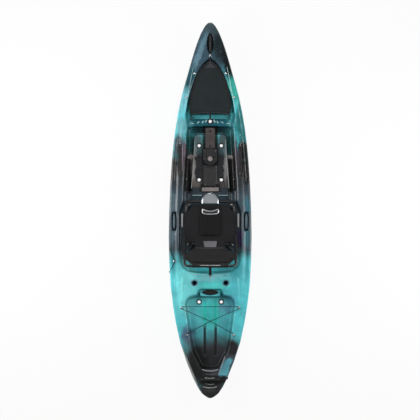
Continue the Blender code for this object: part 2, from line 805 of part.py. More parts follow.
def meshed(obj, home=None):
    """A curve's solid as a mesh object of the same name, so that a Boolean can use it."""
    name = obj.name
    bpy.context.view_layer.update()
    mesh = bpy.data.meshes.new_from_object(obj.evaluated_get(bpy.context.evaluated_depsgraph_get()))
    finish = obj.data.materials[0] if obj.data.materials else None
    bpy.data.objects.remove(obj)
    return add(name, mesh, finish, home)


def softened(corners, radius, steps=4):
    """A bent bar's path: the inner corners of a list of points turned into arcs."""
    path = [Vector(corners[0])]
    for before, corner, after in zip(corners, corners[1:], corners[2:]):
        before, corner, after = Vector(before), Vector(corner), Vector(after)
        one, two = (before - corner).normalized(), (after - corner).normalized()
        half = one.angle(two) / 2
        reach = radius / math.tan(half)
        centre = corner + (one + two).normalized() * radius / math.sin(half)
        first, last = corner + one * reach - centre, corner + two * reach - centre
        sweep = first.angle(last)
        for i in range(steps + 1):
            share = i / steps
            across = math.sin((1 - share) * sweep) * first + math.sin(share * sweep) * last
            path.append(centre + across / math.sin(sweep))
    path.append(Vector(corners[-1]))
    return path


def sided(side):
    return "left" if side < 0 else "right"


def stud_foot(x, y):
    """Height at which a stud's round base clears the deck all round."""
    rim = [math.radians(45 * i) for i in range(8)]
    reach = STUD_BASE / 2
    return max(deck_height(x + reach * math.cos(a), y + reach * math.sin(a)) for a in rim) + 2 * GAP


def stud(name, x, y, finish):
    """A mushroom-headed stud on the deck that a cord hooks round."""
    foot = stud_foot(x, y)
    base, post, head = STUD_BASE / 2, STUD_POST / 2, STUD_HEAD / 2
    profile = [(0, base), (0.002, base), (STUD_SEAT, post), (STUD_NECK, post), (STUD_NECK + 0.002, head)]
    profile += [(STUD_NECK + 0.004, head), (STUD_NECK + 0.006, 0.5 * head)]
    return turned(name, (x, y, foot), (0, 0, 1), profile, 8, finish)


def cord_level(x, y):
    """Height of a cord's centre where it goes round a stud."""
    return stud_foot(x, y) + STUD_SEAT + CORD_DIAMETER / 2 + 0.0012


def round_stud(x, y, start_angle, end_angle, steps=5):
    """A cord's points round a stud's post, at angles in degrees in the plan."""
    reach = STUD_POST / 2 + CORD_DIAMETER / 2 + GAP + 0.0004
    reach /= math.cos(math.radians(abs(end_angle - start_angle) / steps / 2))
    points = []
    for i in range(steps + 1):
        angle = math.radians(lerp(start_angle, end_angle, i / steps))
        points.append((x + reach * math.cos(angle), y + reach * math.sin(angle), cord_level(x, y)))
    return points


def make_foam(finish):
    """Foam pillars that hold the wells' floors up from the bottom, inside the hollow hull."""
    places = {"bow_foam": BOW_FOAM_Y, "stern_foam": STERN_FOAM_Y}
    for name, y in places.items():
        low = (-FOAM_WIDTH / 2, y - FOAM_LENGTH / 2, -BELOW_KEEL)
        pillar = box(name, low, (FOAM_WIDTH / 2, y + FOAM_LENGTH / 2, ABOVE_DECK), finish)
        room = collection("room")
        inner = hull_skin("room", HULL_WALL + GAP)
        bpy.context.scene.collection.objects.unlink(inner)
        room.objects.link(inner)
        combine(pillar, "INTERSECT", room)
        pillar.data.materials.clear()
        pillar.data.materials.append(finish)


def drain_axis():
    """A place on the stern's right side and the outward direction there."""
    places = []
    for share in STATIONS[DRAIN_STATION - 1 : DRAIN_STATION + 2]:
        y = share * LENGTH / 2
        (x0, z0), (x1, z1) = half_section(y)[7:9]
        places.append(Vector(((x0 + x1) / 2, y, (z0 + z1) / 2)))
        if len(places) == 2:
            up_skin = Vector((x1 - x0, 0, z1 - z0))
    return places[1], (places[2] - places[0]).cross(up_skin).normalized()


def make_drain(rubber, plastic):
    place, out = drain_axis()
    bore = DRAIN_BORE / 2
    inner = bore - 0.004
    profile = [(-0.012, bore - GAP), (GAP, bore - GAP), (GAP, bore + 0.005), (0.003, bore + 0.005)]
    bushing = collection("bushing")
    turned("bore", place, out, [(-0.02, inner), (0.01, inner)], 16, home=bushing)
    ring = turned("drain_bushing", place, out, profile, 16, rubber)
    combine(ring, "DIFFERENCE", bushing)
    shank = inner - GAP
    head = [(-0.010, shank), (0.003 + GAP, shank), (0.003 + GAP, bore + 0.002), (0.009, bore + 0.001)]
    turned("drain_plug", place, out, head + [(0.010, bore - 0.002)], 16, plastic)


def arched_handle(name, centre, direction, length, foot, top, finish):
    """A grip bent up from two feet; the feet's heights and the top's are given."""
    centre, direction = Vector(centre), Vector(direction)
    reach = length / 2 - GRIP_DIAMETER / 2
    ends = [centre - direction * reach, centre + direction * reach]
    corners = [ends[0] + Vector((0, 0, foot)), ends[0] + Vector((0, 0, top))]
    corners += [ends[1] + Vector((0, 0, top)), ends[1] + Vector((0, 0, foot))]
    return bent_bar(name, softened(corners, GRIP_BEND), GRIP_DIAMETER / 2, finish)


def make_handles(finish):
    y = bow_y(BOW_HANDLE_SETBACK)
    deck = deck_height(0, y)
    foot, top = deck - BOW_HANDLE_RECESS_DEPTH + GAP, deck + BOW_GRIP_RISE
    arched_handle("bow_handle", (0, y, 0), (0, 1, 0), BOW_HANDLE_LENGTH, foot, top, finish)
    for side in (-1, 1):
        deck = deck_height(SIDE_HANDLE_X, SIDE_HANDLE_Y)
        foot, top = deck - SIDE_HANDLE_RECESS_DEPTH + GAP, deck + SIDE_GRIP_RISE
        place = (side * SIDE_HANDLE_X, SIDE_HANDLE_Y, 0)
        arched_handle(f"side_handle_{sided(side)}", place, (0, 1, 0), SIDE_HANDLE_LENGTH, foot, top, finish)
    y = stern_y(STERN_HANDLE_SETBACK)
    inner = STERN_HANDLE_LENGTH / 2 - GRIP_DIAMETER
    foot = max(deck_height(inner, y + dy) for dy in (-GRIP_DIAMETER / 2, GRIP_DIAMETER / 2)) + GAP
    top = deck_height(0, y) + STERN_GRIP_RISE
    arched_handle("stern_handle", (0, y, 0), (1, 0, 0), STERN_HANDLE_LENGTH, foot, top, finish)


def on_lip(outline, reach, clearance):
    """A ring of points on a well's sloped lip, moved out from the well's outline by reach."""
    return [(p[0], p[1], deck_height(p[0], p[1]) - LIP + reach + clearance) for p in offset(outline, reach)]


def cover_outline():
    wide, rear = BOW_WELL_HALF_WIDTH, bow_y(BOW_WELL_SETBACK) - COVER_LENGTH
    right = [(0.0, rear + COVER_REAR_CURVE)] + [(share * wide, rear + up) for share, up in COVER_CORNER]
    return mirror_outline(right + bow_arch()[COVER_MEETS_ARCH:])


def make_bow_cover(cloth, metal, elastic):
    outline = cover_outline()
    low = on_lip(outline, COVER_SEAT, 0.0010)
    high = [(x, y, z + COVER_THICKNESS) for x, y, z in low]
    loft("bow_cover", [low, high], cloth)
    rear = bow_y(BOW_WELL_SETBACK) - COVER_LENGTH
    middle = deck_height(0.1, rear) - LIP + COVER_THICKNESS
    tab_y = rear + COVER_REAR_CURVE - COVER_SEAT - GAP - PULL_TAB_LENGTH / 2
    tab = rectangle(0, tab_y, PULL_TAB_WIDTH, PULL_TAB_LENGTH)
    plate("cover_pull_tab", tab, middle, middle + PULL_TAB_THICKNESS, cloth)
    for side in (-1, 1):
        wide = BOW_WELL_HALF_WIDTH
        edge = rear - COVER_SEAT
        plan = [(0.58, edge + 0.0028), (0.58, edge - 0.012), (0.93, rear - 0.075)]
        plan += [(0.72, edge - 0.012), (0.72, edge)]
        points = [(side * share * wide, y, middle) for share, y in plan]
        bent_bar(f"cover_cord_{sided(side)}", softened(points, 0.006, 3), CORD_DIAMETER / 2, elastic, sides=1)
    places = {"cover_stud_tip": (0.0, bow_y(BOW_WELL_SETBACK) + LIP + STUD_BASE / 2 + 0.004)}
    for label, corner in (("front", COVER_STUD_FRONT), ("rear", COVER_STUD_REAR)):
        x, y = bow_arch()[corner]
        for side in (-1, 1):
            out = x + LIP + STUD_BASE / 2 + 0.002
            places[f"cover_stud_{label}_{sided(side)}"] = (side * out, y + 0.004)
    for name, (x, y) in places.items():
        stud(name, x, y, metal)


def make_console(grey, black):
    front = COCKPIT_FRONT - DRAFT - GAP
    low = PLATEAU_TOP + GAP
    outline = rectangle(0, (front + CONSOLE_REAR) / 2, CONSOLE_WIDTH, front - CONSOLE_REAR)
    plate("console_plate", rounded(outline, 0.008, 2), low, low + CONSOLE_HEIGHT, grey, edge=0.003)
    wide = MOUNT_BASE_WIDTH / 2
    top = CONSOLE_REAR - GAP
    ends = [(wide, top), (-wide, top)]
    half_round = [
        (wide * math.cos(a), CHANNEL_FRONT + wide + 0.001 + wide * math.sin(a))
        for a in (math.pi + math.pi * i / 10 for i in range(11))
    ]
    plate("mount_base", half_round + ends, low, low + MOUNT_BASE_HEIGHT, black, edge=0.004)
    knob = KNOB_DIAMETER / 2
    foot = low + MOUNT_BASE_HEIGHT + GAP
    profile = [(0, 0.6 * knob), (0.008, 0.6 * knob), (0.010, knob), (0.024, knob), (0.028, 0.85 * knob)]
    turned("mount_knob", (0, KNOB_Y, foot), (0, 0, 1), profile, 18, grey)
    middle, length = (CHANNEL_FRONT + CHANNEL_REAR) / 2, CHANNEL_FRONT - CHANNEL_REAR
    margin = CHANNEL_DRAFT + GAP
    strip = rectangle(0, middle, 2 * (CHANNEL_HALF_WIDTH - margin), length - 2 * margin)
    foot = PLATEAU_TOP - CHANNEL_DEPTH + GAP
    plate("channel_strip", strip, foot, foot + CHANNEL_STRIP_THICKNESS, grey)
    step = rounded(rectangle(0, FLOOR_STEP_Y, FLOOR_STEP_WIDTH, FLOOR_STEP_LENGTH), 0.006, 2)
    plate("floor_step", step, low, low + FLOOR_STEP_HEIGHT, grey, edge=0.002)


def footwell_wall(y, height):
    """How far from the middle the foot well's side wall is, at a place and a height."""
    (x0, y0), (x1, y1) = cockpit_mid_point(), cockpit_near_front_point()
    rim = lerp(x0, x1, (y - y0) / (y1 - y0))
    top = deck_height(rim, y) - LIP
    return rim - DRAFT * (1 - (height - FOOTWELL_FLOOR) / (top - FOOTWELL_FLOOR))


def trigger_front():
    return FOOT_PEDAL_Y + FOOT_PEDAL_THICKNESS / 2 + GAP + TRIGGER_THICKNESS


def make_foot_braces(metal, plastic):
    low, high = FOOT_RAIL_HEIGHT, FOOT_RAIL_HEIGHT + FOOT_RAIL_WIDTH
    for side in (-1, 1):
        rings = []
        for y in (FOOT_RAIL_REAR, FOOT_RAIL_REAR + FOOT_RAIL_LENGTH):
            outer = footwell_wall(y, low) - RAIL_SEAT
            inner = outer - FOOT_RAIL_THICKNESS
            corners = ((inner, low), (outer, low), (outer, high), (inner, high))
            rings.append([(side * x, y, z) for x, z in corners])
        loft(f"foot_rail_{sided(side)}", rings, metal)
        half = FOOT_PEDAL_THICKNESS / 2
        wall = min(footwell_wall(FOOT_PEDAL_Y + d, low) for d in (-half, half))
        inner = wall - RAIL_SEAT - FOOT_RAIL_THICKNESS - 2 * GAP
        arm = [(side * FOOT_PEDAL_INNER, FOOT_PEDAL_Y - half), (side * inner, FOOT_PEDAL_Y - half)]
        arm += [(side * inner, FOOT_PEDAL_Y + half), (side * FOOT_PEDAL_INNER, FOOT_PEDAL_Y + half)]
        if side < 0:
            arm.reverse()
        bottom, top = high - FOOT_PEDAL_HEIGHT, high + PEDAL_HOOK_RISE
        pedal = plate(f"foot_pedal_{sided(side)}", arm, bottom, top, plastic)
        hook = collection("hook")
        x0, x1 = sorted((side * (inner - 0.004), side * (inner + FOOT_RAIL_THICKNESS)))
        y0, y1 = FOOT_PEDAL_Y - half + OVERCUT, FOOT_PEDAL_Y + half - OVERCUT
        box("hook", (x0, y0, high + 2 * GAP), (x1, y1, top - OVERCUT), home=hook)
        combine(pedal, "UNION", hook)
        x0, x1 = sorted((side * (FOOT_PEDAL_INNER + TRIGGER_INSET), side * (inner - TRIGGER_INSET)))
        y0, y1 = trigger_front() - TRIGGER_THICKNESS, trigger_front()
        name = f"foot_trigger_{sided(side)}"
        box(name, (x0, y0, high - TRIGGER_DROP), (x1, y1, high + TRIGGER_RISE), metal)


def make_gear_tracks(finish):
    for side in (-1, 1):
        middle = TRACK_FRONT - TRACK_LENGTH / 2
        low = track_seat(middle) + GAP
        outline = rectangle(side * TRACK_X, middle, TRACK_WIDTH, TRACK_LENGTH)
        track = plate(f"gear_track_{sided(side)}", outline, low, low + TRACK_HEIGHT, finish)
        slot = collection("slot")
        top, half = low + TRACK_HEIGHT, TRACK_LENGTH / 2 - 0.012
        wide, narrow = TRACK_SLOT, TRACK_SLOT / 2
        profile = [(-wide, -TRACK_SLOT_DEPTH), (wide, -TRACK_SLOT_DEPTH), (wide, -0.0035), (narrow, -0.0035)]
        profile += [(narrow, 0.01), (-narrow, 0.01), (-narrow, -0.0035), (-wide, -0.0035)]
        ends = [[(side * TRACK_X + x, middle + e * half, top + z) for x, z in profile] for e in (1, -1)]
        loft("slot", ends, home=slot)
        combine(track, "DIFFERENCE", slot)


def seat_loop(grow=0.0):
    """The seat base's frame: a round bar bent to a rectangle."""
    frame = rectangle(0, (SEAT_FRONT + SEAT_REAR) / 2, 2 * SEAT_FRAME_X, SEAT_FRONT - SEAT_REAR)
    path = [(x, y, SEAT_FRAME_HEIGHT) for x, y in rounded(frame, SEAT_BEND, 3)]
    return bent_bar("seat_base_frame", path, SEAT_BAR / 2 + grow, cyclic=True)


def back_point(up, out=0.0, x=0.0):
    """A place on the seat's back: up along its slope from the hinge, and out in front of it."""
    rise = Vector((0, -math.sin(SEAT_RECLINE), math.cos(SEAT_RECLINE)))
    front = Vector((0, math.cos(SEAT_RECLINE), math.sin(SEAT_RECLINE)))
    return Vector((x, SEAT_HINGE_Y, SEAT_HINGE_HEIGHT)) + rise * up + front * out


def make_seat(bar_finish, cloth, plastic, bright):
    meshed(seat_loop()).data.materials.append(bar_finish)
    seat_top = SEAT_FRAME_HEIGHT + SEAT_BAR / 2 + GAP
    for label, y in (("front", SEAT_FOOT_FRONT), ("rear", SEAT_FOOT_REAR)):
        for side in (-1, 1):
            outline = rectangle(side * SEAT_FRAME_X, y, SEAT_FOOT_WIDTH, SEAT_FOOT_LENGTH)
            name = f"seat_foot_{label}_{sided(side)}"
            foot = plate(name, outline, SEAT_LEDGE_TOP + GAP, SEAT_FRAME_HEIGHT, plastic)
            bars = collection("bars")
            meshed(seat_loop(GAP), bars)
            combine(foot, "DIFFERENCE", bars)
    rear_edge = SEAT_HINGE_Y + HINGE_BRACKET_LENGTH / 2 + 0.003
    front_edge = SEAT_FRONT - 0.030
    edge = SEAT_FRAME_X + BASE_SLING_MARGIN
    cut_x, cut_y = BASE_SLING_CUT
    half = [(edge, rear_edge), (edge, front_edge - cut_y), (edge - cut_x, front_edge)]
    sling = rounded(mirror_outline(half), BASE_SLING_ROUNDING, 3)
    plate("seat_base_sling", sling, seat_top, seat_top + SLING_THICKNESS, cloth)
    make_seat_back(bar_finish, cloth, plastic)
    make_seat_fittings(seat_top, plastic, bright)


def make_seat_back(bar_finish, cloth, plastic):
    reach = SEAT_BACK_X
    tail, height = -SEAT_BACK_TAIL, SEAT_BACK_HEIGHT
    straight, wide = SEAT_BACK_FLARE
    half = [(tail, reach), (straight, reach), (wide, SEAT_BACK_TOP_X), (height, SEAT_BACK_TOP_X)]
    corners = [back_point(up, 0, -x) for up, x in half] + [back_point(up, 0, x) for up, x in reversed(half)]
    frame = meshed(bent_bar("seat_back_frame", softened(corners, SEAT_BEND), SEAT_BAR / 2, bar_finish))
    pins = collection("pins")
    hinge = back_point(0)
    across = Vector((2 * reach, 0, 0))
    bar("pin", hinge - across, hinge + across, HINGE_PIN / 2 + GAP, 12, home=pins)
    combine(frame, "DIFFERENCE", pins)
    edge = SEAT_BACK_TOP_X + BACK_SLING_MARGIN
    half = [(edge, up) for up in BACK_SLING_WIDE] + [(edge - BACK_SLING_CUT, height)]
    half = [(BACK_SLING_FOOT_X, BACK_SLING_START)] + half
    shape = rounded(mirror_outline(half), BACK_SLING_ROUNDING, 3)
    near = SEAT_BAR / 2 + GAP
    rings = [[back_point(y, out, x) for x, y in shape] for out in (near, near + SLING_THICKNESS)]
    loft("seat_back_sling", rings, cloth)
    for side in (-1, 1):
        inner = SEAT_BACK_X + SEAT_BAR / 2 + GAP
        x0, x1 = sorted((side * inner, side * (inner + HINGE_BRACKET_THICKNESS)))
        half = HINGE_BRACKET_LENGTH / 2
        low = (x0, SEAT_HINGE_Y - half, SEAT_FRAME_HEIGHT - HINGE_BRACKET_DROP)
        high = (x1, SEAT_HINGE_Y + half, SEAT_HINGE_HEIGHT + HINGE_BRACKET_RISE)
        bracket = box(f"hinge_bracket_{sided(side)}", low, high, plastic)
        bars = collection("bars")
        meshed(seat_loop(GAP), bars)
        combine(bracket, "DIFFERENCE", bars)
        pin = collection("pin")
        start = Vector((side * (SEAT_BACK_X - SEAT_BAR / 2), SEAT_HINGE_Y, SEAT_HINGE_HEIGHT))
        end = Vector((side * (inner + HINGE_BRACKET_THICKNESS + 0.002), SEAT_HINGE_Y, SEAT_HINGE_HEIGHT))
        bar("pin", start, end, HINGE_PIN / 2, 12, home=pin)
        combine(bracket, "UNION", pin)


def d_outline(reach, straight, steps=12):
    """A half round with a straight stretch behind it, its round side towards the bow."""
    turns = [math.pi * i / steps for i in range(steps + 1)]
    arc = [(reach * math.cos(turn), BAIL_Y + reach * math.sin(turn)) for turn in turns]
    return [(-reach, BAIL_Y - straight), (reach, BAIL_Y - straight)] + arc


def make_seat_fittings(seat_top, plastic, bright):
    rim = BAIL_BAR / 2
    height = seat_top + rim
    path = d_outline(BAIL_REACH, BAIL_TAIL)[1:] + d_outline(BAIL_REACH, BAIL_TAIL)[:1]
    bail = meshed(bent_bar("seat_bail", [(x, y, height) for x, y in path], rim, bright, sides=1))
    clips = collection("clips")
    clip_bore = SEAT_BAR / 2 + 2 * GAP
    for side in (-1, 1):
        middle = side * BAIL_REACH
        profile = [(0, clip_bore + BAIL_CLIP_WALL), (BAIL_CLIP, clip_bore + BAIL_CLIP_WALL)]
        start = (middle - BAIL_CLIP / 2, SEAT_FRONT, SEAT_FRAME_HEIGHT)
        turned("clip", start, (1, 0, 0), profile, 16, home=clips)
    combine(bail, "UNION", clips)
    bore = collection("bore")
    across = Vector((2 * BAIL_REACH, 0, 0))
    axis = Vector((0, SEAT_FRONT, SEAT_FRAME_HEIGHT))
    bar("bore", axis - across, axis + across, clip_bore, 16, home=bore)
    combine(bail, "DIFFERENCE", bore)
    inside = d_outline(BAIL_REACH - rim - 2 * GAP, BAIL_TAIL)
    plate("seat_tongue", inside, seat_top + 0.0012, seat_top + 0.0012 + TONGUE_THICKNESS, plastic)
    sling_top = seat_top + SLING_THICKNESS + GAP
    buckle = rounded(rectangle(0.002, BUCKLE_Y, BUCKLE_WIDTH, BUCKLE_LENGTH), 0.012, 3)
    plate("seat_buckle", buckle, sling_top, sling_top + BUCKLE_HEIGHT, bright, edge=0.004)
    for side in (-1, 1):
        rail = rectangle(side * SEAT_RAIL_X, SEAT_RAIL_Y, SEAT_RAIL_WIDTH, SEAT_RAIL_LENGTH)
        low = SEAT_LEDGE_TOP + GAP
        name = f"seat_rail_{sided(side)}"
        plate(name, rounded(rail, 0.008, 2), low, low + SEAT_RAIL_HEIGHT, bright, edge=0.004)


def make_seat_strap(webbing, metal):
    eye_y = COCKPIT_REAR - LIP - STUD_BASE / 2 - 0.006
    stud("strap_eye", 0.0, eye_y, metal)
    start = Vector((0, SEAT_REAR - SEAT_BAR / 2 - 2 * GAP, SEAT_FRAME_HEIGHT))
    end = Vector((0, eye_y + STUD_POST / 2 + 0.0008, deck_height(0, eye_y) + STUD_SEAT + 0.0022))
    side, thick = Vector((STRAP_WIDTH / 2, 0, 0)), Vector((0, 0, STRAP_THICKNESS / 2))
    rings = [[p - side - thick, p + side - thick, p + side + thick, p - side + thick] for p in (start, end)]
    loft("seat_strap", rings, webbing)


def make_port(rubber, plastic):
    floor = TANK_SHELF_TOP - PORT_RECESS
    outer = oval(0, PORT_Y, PORT_LENGTH - 0.004, PORT_WIDTH - 0.004, 20)
    seal = plate("port_seal", outer, floor + GAP, floor + GAP + PORT_SEAL, rubber)
    hole = collection("hole")
    inner = oval(0, PORT_Y, PORT_LENGTH - 2 * PORT_LIP + 0.002, PORT_WIDTH - 2 * PORT_LIP + 0.002, 20)
    plate("hole", inner, floor - 0.01, floor + 0.01, home=hole)
    combine(seal, "DIFFERENCE", hole)
    foot = floor + PORT_SEAL + 2 * GAP
    cover = oval(0, PORT_Y, PORT_LENGTH - 0.002, PORT_WIDTH - 0.002, 20)
    plate("port_cover", cover, foot, TANK_SHELF_TOP + 0.001, plastic, edge=0.002)


def make_cords(elastic, metal):
    """The tank well's bungee and the paddle keeper, with the studs that hold them."""
    front, rear = (TANK_STUD_FRONT_X, TANK_STUD_FRONT_Y), (TANK_STUD_REAR_X, TANK_STUD_REAR_Y)
    for side in (-1, 1):
        stud(f"tank_stud_front_{sided(side)}", side * front[0], front[1], metal)
        stud(f"tank_stud_rear_{sided(side)}", side * rear[0], rear[1], metal)
    cross_y = TANK_CROSS_Y
    cross = (cord_level(*front) + cord_level(*rear)) / 2
    path = round_stud(-rear[0], rear[1], -60, -240, 5)
    path.append((0, cross_y, cross + 0.7 * CORD_DIAMETER))
    path += round_stud(front[0], front[1], -60, 90, 5)
    path += round_stud(-front[0], front[1], 90, 240, 5)
    path.append((0, cross_y, cross - 0.7 * CORD_DIAMETER))
    path += round_stud(rear[0], rear[1], 60, -120, 5)
    bent_bar("tank_bungee", path, CORD_DIAMETER / 2, elastic, sides=1)
    x, y = PADDLE_HOOK_X, PADDLE_HOOK_Y
    stud("paddle_hook", -x, y, metal)
    edge = PADDLE_CORD_X
    ends = [(-edge, y + PADDLE_CORD_FRONT), (-edge, y - PADDLE_CORD_REAR)]
    lift = CORD_DIAMETER / 2 + 0.0008
    ridge = lerp(edge, x, 0.40)
    path = [(*ends[0], deck_height(*ends[0]) + lift)]
    path.append((-ridge, lerp(ends[0][1], y, 0.40), deck_height(ridge, ends[0][1]) + lift + 0.001))
    path += round_stud(-x, y, 22, -22, 2)
    path.append((-ridge, lerp(ends[1][1], y, 0.40), deck_height(ridge, ends[1][1]) + lift + 0.001))
    path.append((*ends[1], deck_height(*ends[1]) + lift))
    bent_bar("paddle_bungee", path, CORD_DIAMETER / 2, elastic, sides=1)


def set_origin(name, place):
    """Puts a piece's origin on a place, such as its joint's axis, and leaves its shape where it is."""
    piece = bpy.data.objects[name]
    piece.data.transform(Matrix.Translation(-Vector(place)))
    piece.location = place


def set_joint_origins():
    drain_place, _ = drain_axis()
    cover_place = (0, bow_y(BOW_WELL_SETBACK + COVER_LENGTH / 2), deck_height(0, bow_y(BOW_WELL_SETBACK)))
    for name in ("seat_back_frame", "seat_back_sling"):
        set_origin(name, back_point(0))
    for name in ("seat_bail", "seat_tongue"):
        set_origin(name, (0, SEAT_FRONT, SEAT_FRAME_HEIGHT))
    for name in ("bow_cover", "cover_pull_tab", "cover_cord_left", "cover_cord_right"):
        set_origin(name, cover_place)
    set_origin("port_cover", (0, PORT_Y, TANK_SHELF_TOP))
    set_origin("mount_knob", (0, KNOB_Y, PLATEAU_TOP + MOUNT_BASE_HEIGHT))
    set_origin("drain_plug", drain_place)
    top = FOOT_RAIL_HEIGHT + FOOT_RAIL_WIDTH
    for side in (-1, 1):
        x = side * FOOT_PEDAL_INNER
        set_origin(f"foot_pedal_{sided(side)}", (x, FOOT_PEDAL_Y, top))
        hinge = trigger_front() - TRIGGER_THICKNESS / 2
        set_origin(f"foot_trigger_{sided(side)}", (x, hinge, top + TRIGGER_RISE))


def shade():
    """Smooth shading, with sharp edges where two faces meet at a steep angle."""
    for made in bpy.data.objects:
        if made.type == "MESH":
            made.data.shade_smooth()
            made.data.set_sharp_from_angle(angle=SHARP_EDGE)


def clear_scene():
    for old in list(bpy.data.objects):
        bpy.data.objects.remove(old)


def main():
    clear_scene()
    polyethylene = material("moulded polyethylene", (0.05, 0.45, 0.45), 0.35)
    foam = material("closed-cell foam", (0.75, 0.75, 0.72), 0.9)
    rubber = material("black rubber", (0.02, 0.02, 0.02), 0.7)
    black = material("black nylon", (0.02, 0.02, 0.02), 0.45)
    grey = material("grey moulded plastic", (0.20, 0.18, 0.18), 0.45)
    cloth = material("black mesh cloth", (0.03, 0.03, 0.03), 0.85)
    webbing = material("black webbing", (0.02, 0.02, 0.025), 0.8)
    elastic = material("bungee cord", (0.01, 0.01, 0.012), 0.7)
    steel = material("stainless steel", (0.6, 0.6, 0.6), 0.3, 1.0)
    aluminium = material("anodised aluminium", (0.16, 0.14, 0.13), 0.4, 1.0)
    tube = material("black coated tube", (0.03, 0.03, 0.03), 0.35, 0.3)
    make_hull(polyethylene)
    make_foam(foam)
    make_drain(rubber, black)
    make_handles(black)
    make_bow_cover(cloth, steel, elastic)
    make_console(grey, black)
    make_foot_braces(aluminium, black)
    make_gear_tracks(aluminium)
    make_seat(tube, cloth, black, steel)
    make_seat_strap(webbing, steel)
    make_port(rubber, black)
    make_cords(elastic, steel)
    set_joint_origins()
    shade()


main()
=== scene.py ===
"""A sit-on-top fishing kayak, seen from straight above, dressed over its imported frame.

The hull is one rotomoulded shell of marbled polyethylene. Everything else is bolted, hooked or strapped to it.
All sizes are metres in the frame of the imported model: the bow is towards +Y and the boat's left side at -X.
"""

import json
import logging
import math
from dataclasses import dataclass, field
from enum import Enum
from functools import cached_property
from typing import Callable, Iterable, Sequence

import bmesh
import bpy
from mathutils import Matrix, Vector
from mathutils.bvhtree import BVHTree

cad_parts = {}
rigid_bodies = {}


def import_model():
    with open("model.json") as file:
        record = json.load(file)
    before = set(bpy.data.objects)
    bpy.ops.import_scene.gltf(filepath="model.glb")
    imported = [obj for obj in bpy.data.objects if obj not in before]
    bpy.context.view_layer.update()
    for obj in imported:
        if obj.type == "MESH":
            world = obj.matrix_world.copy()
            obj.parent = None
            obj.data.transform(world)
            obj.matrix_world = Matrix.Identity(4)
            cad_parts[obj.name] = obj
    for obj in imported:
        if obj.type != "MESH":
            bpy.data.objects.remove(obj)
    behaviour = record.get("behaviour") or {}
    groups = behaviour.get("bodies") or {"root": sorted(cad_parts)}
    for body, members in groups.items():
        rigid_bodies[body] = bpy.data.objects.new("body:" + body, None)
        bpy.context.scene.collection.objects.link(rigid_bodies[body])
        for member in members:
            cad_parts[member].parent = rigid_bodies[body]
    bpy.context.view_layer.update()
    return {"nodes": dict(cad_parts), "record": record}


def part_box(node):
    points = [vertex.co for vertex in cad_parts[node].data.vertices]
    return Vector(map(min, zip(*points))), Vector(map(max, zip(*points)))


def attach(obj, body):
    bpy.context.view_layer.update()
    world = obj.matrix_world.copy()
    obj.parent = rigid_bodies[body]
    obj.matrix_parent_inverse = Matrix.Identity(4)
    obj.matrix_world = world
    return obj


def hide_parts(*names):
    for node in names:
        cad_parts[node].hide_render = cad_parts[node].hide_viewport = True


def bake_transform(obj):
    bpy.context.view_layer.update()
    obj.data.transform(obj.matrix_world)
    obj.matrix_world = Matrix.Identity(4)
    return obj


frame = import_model()

log = logging.getLogger("kayak")

Obj = bpy.types.Object
Tree = bpy.types.NodeTree
Node = bpy.types.Node
Socket = bpy.types.NodeSocket
Point = tuple[float, float, float]
Pair = tuple[float, float]
Plan = Sequence[Pair]
Path = Sequence[Sequence[float]]

PHOTO_PIXELS = 420
METRES_PER_PIXEL = 0.009742
UP = (0, 0, 1)


class Side(Enum):
    """The two sides of the boat, each with the sign of its X."""

    LEFT = -1
    RIGHT = 1

    def tag(self) -> str:
        """The word that ends the names of this side's pieces."""
        return self.name.lower()


# Finishes


def linear(code: str) -> tuple[float, float, float, float]:
    """Turns an sRGB hex colour, six digits after a #, into linear light with full opacity.

    Args:
        code: The colour's code.

    Returns:
        Red, green, blue and opacity.
    """
    parts = [int(code[i : i + 2], 16) / 255 for i in (1, 3, 5)]
    red, green, blue = (c / 12.92 if c <= 0.04045 else ((c + 0.055) / 1.055) ** 2.4 for c in parts)
    return red, green, blue, 1.0


def add_node(tree: Tree, kind: str, settings: dict | None = None, links: dict | None = None) -> Node:
    """Adds a node to a material.

    Args:
        tree: The material's node tree.
        kind: Blender's name of the node.
        settings: Values by attribute name, or by input name or number for sockets.
        links: By input name or number, the output sockets that go there, or nodes for their first outputs.

    Returns:
        The new node.
    """
    node = tree.nodes.new(kind)
    for key, value in (settings or {}).items():
        if isinstance(key, str) and hasattr(node, key) and key not in node.inputs:
            setattr(node, key, value)
        else:
            node.inputs[key].default_value = value
    for key, source in (links or {}).items():
        tree.links.new(source.outputs[0] if isinstance(source, Node) else source, node.inputs[key])
    return node


def new_material(name: str) -> tuple[bpy.types.Material, Tree, Node, Socket]:
    """Starts a material.

    Args:
        name: What the material is.

    Returns:
        The material, its node tree, its Principled shader and its object coordinates.
    """
    material = bpy.data.materials.new(name)
    material.use_nodes = True
    tree = material.node_tree
    return material, tree, tree.nodes["Principled BSDF"], add_node(tree, "ShaderNodeTexCoord").outputs["Object"]


def dress(tree: Tree, shader: Node, **inputs: Node | Socket | float | Sequence[float]) -> None:
    """Links or sets a shader's inputs.

    Args:
        tree: The material's node tree.
        shader: The shader.
        inputs: By an input's name, with underscores for spaces, its value, or the socket or node that goes there.
    """
    for name, value in inputs.items():
        target = shader.inputs[name.replace("_", " ")]
        if isinstance(value, Node | Socket):
            tree.links.new(value.outputs[0] if isinstance(value, Node) else value, target)
        else:
            target.default_value = value


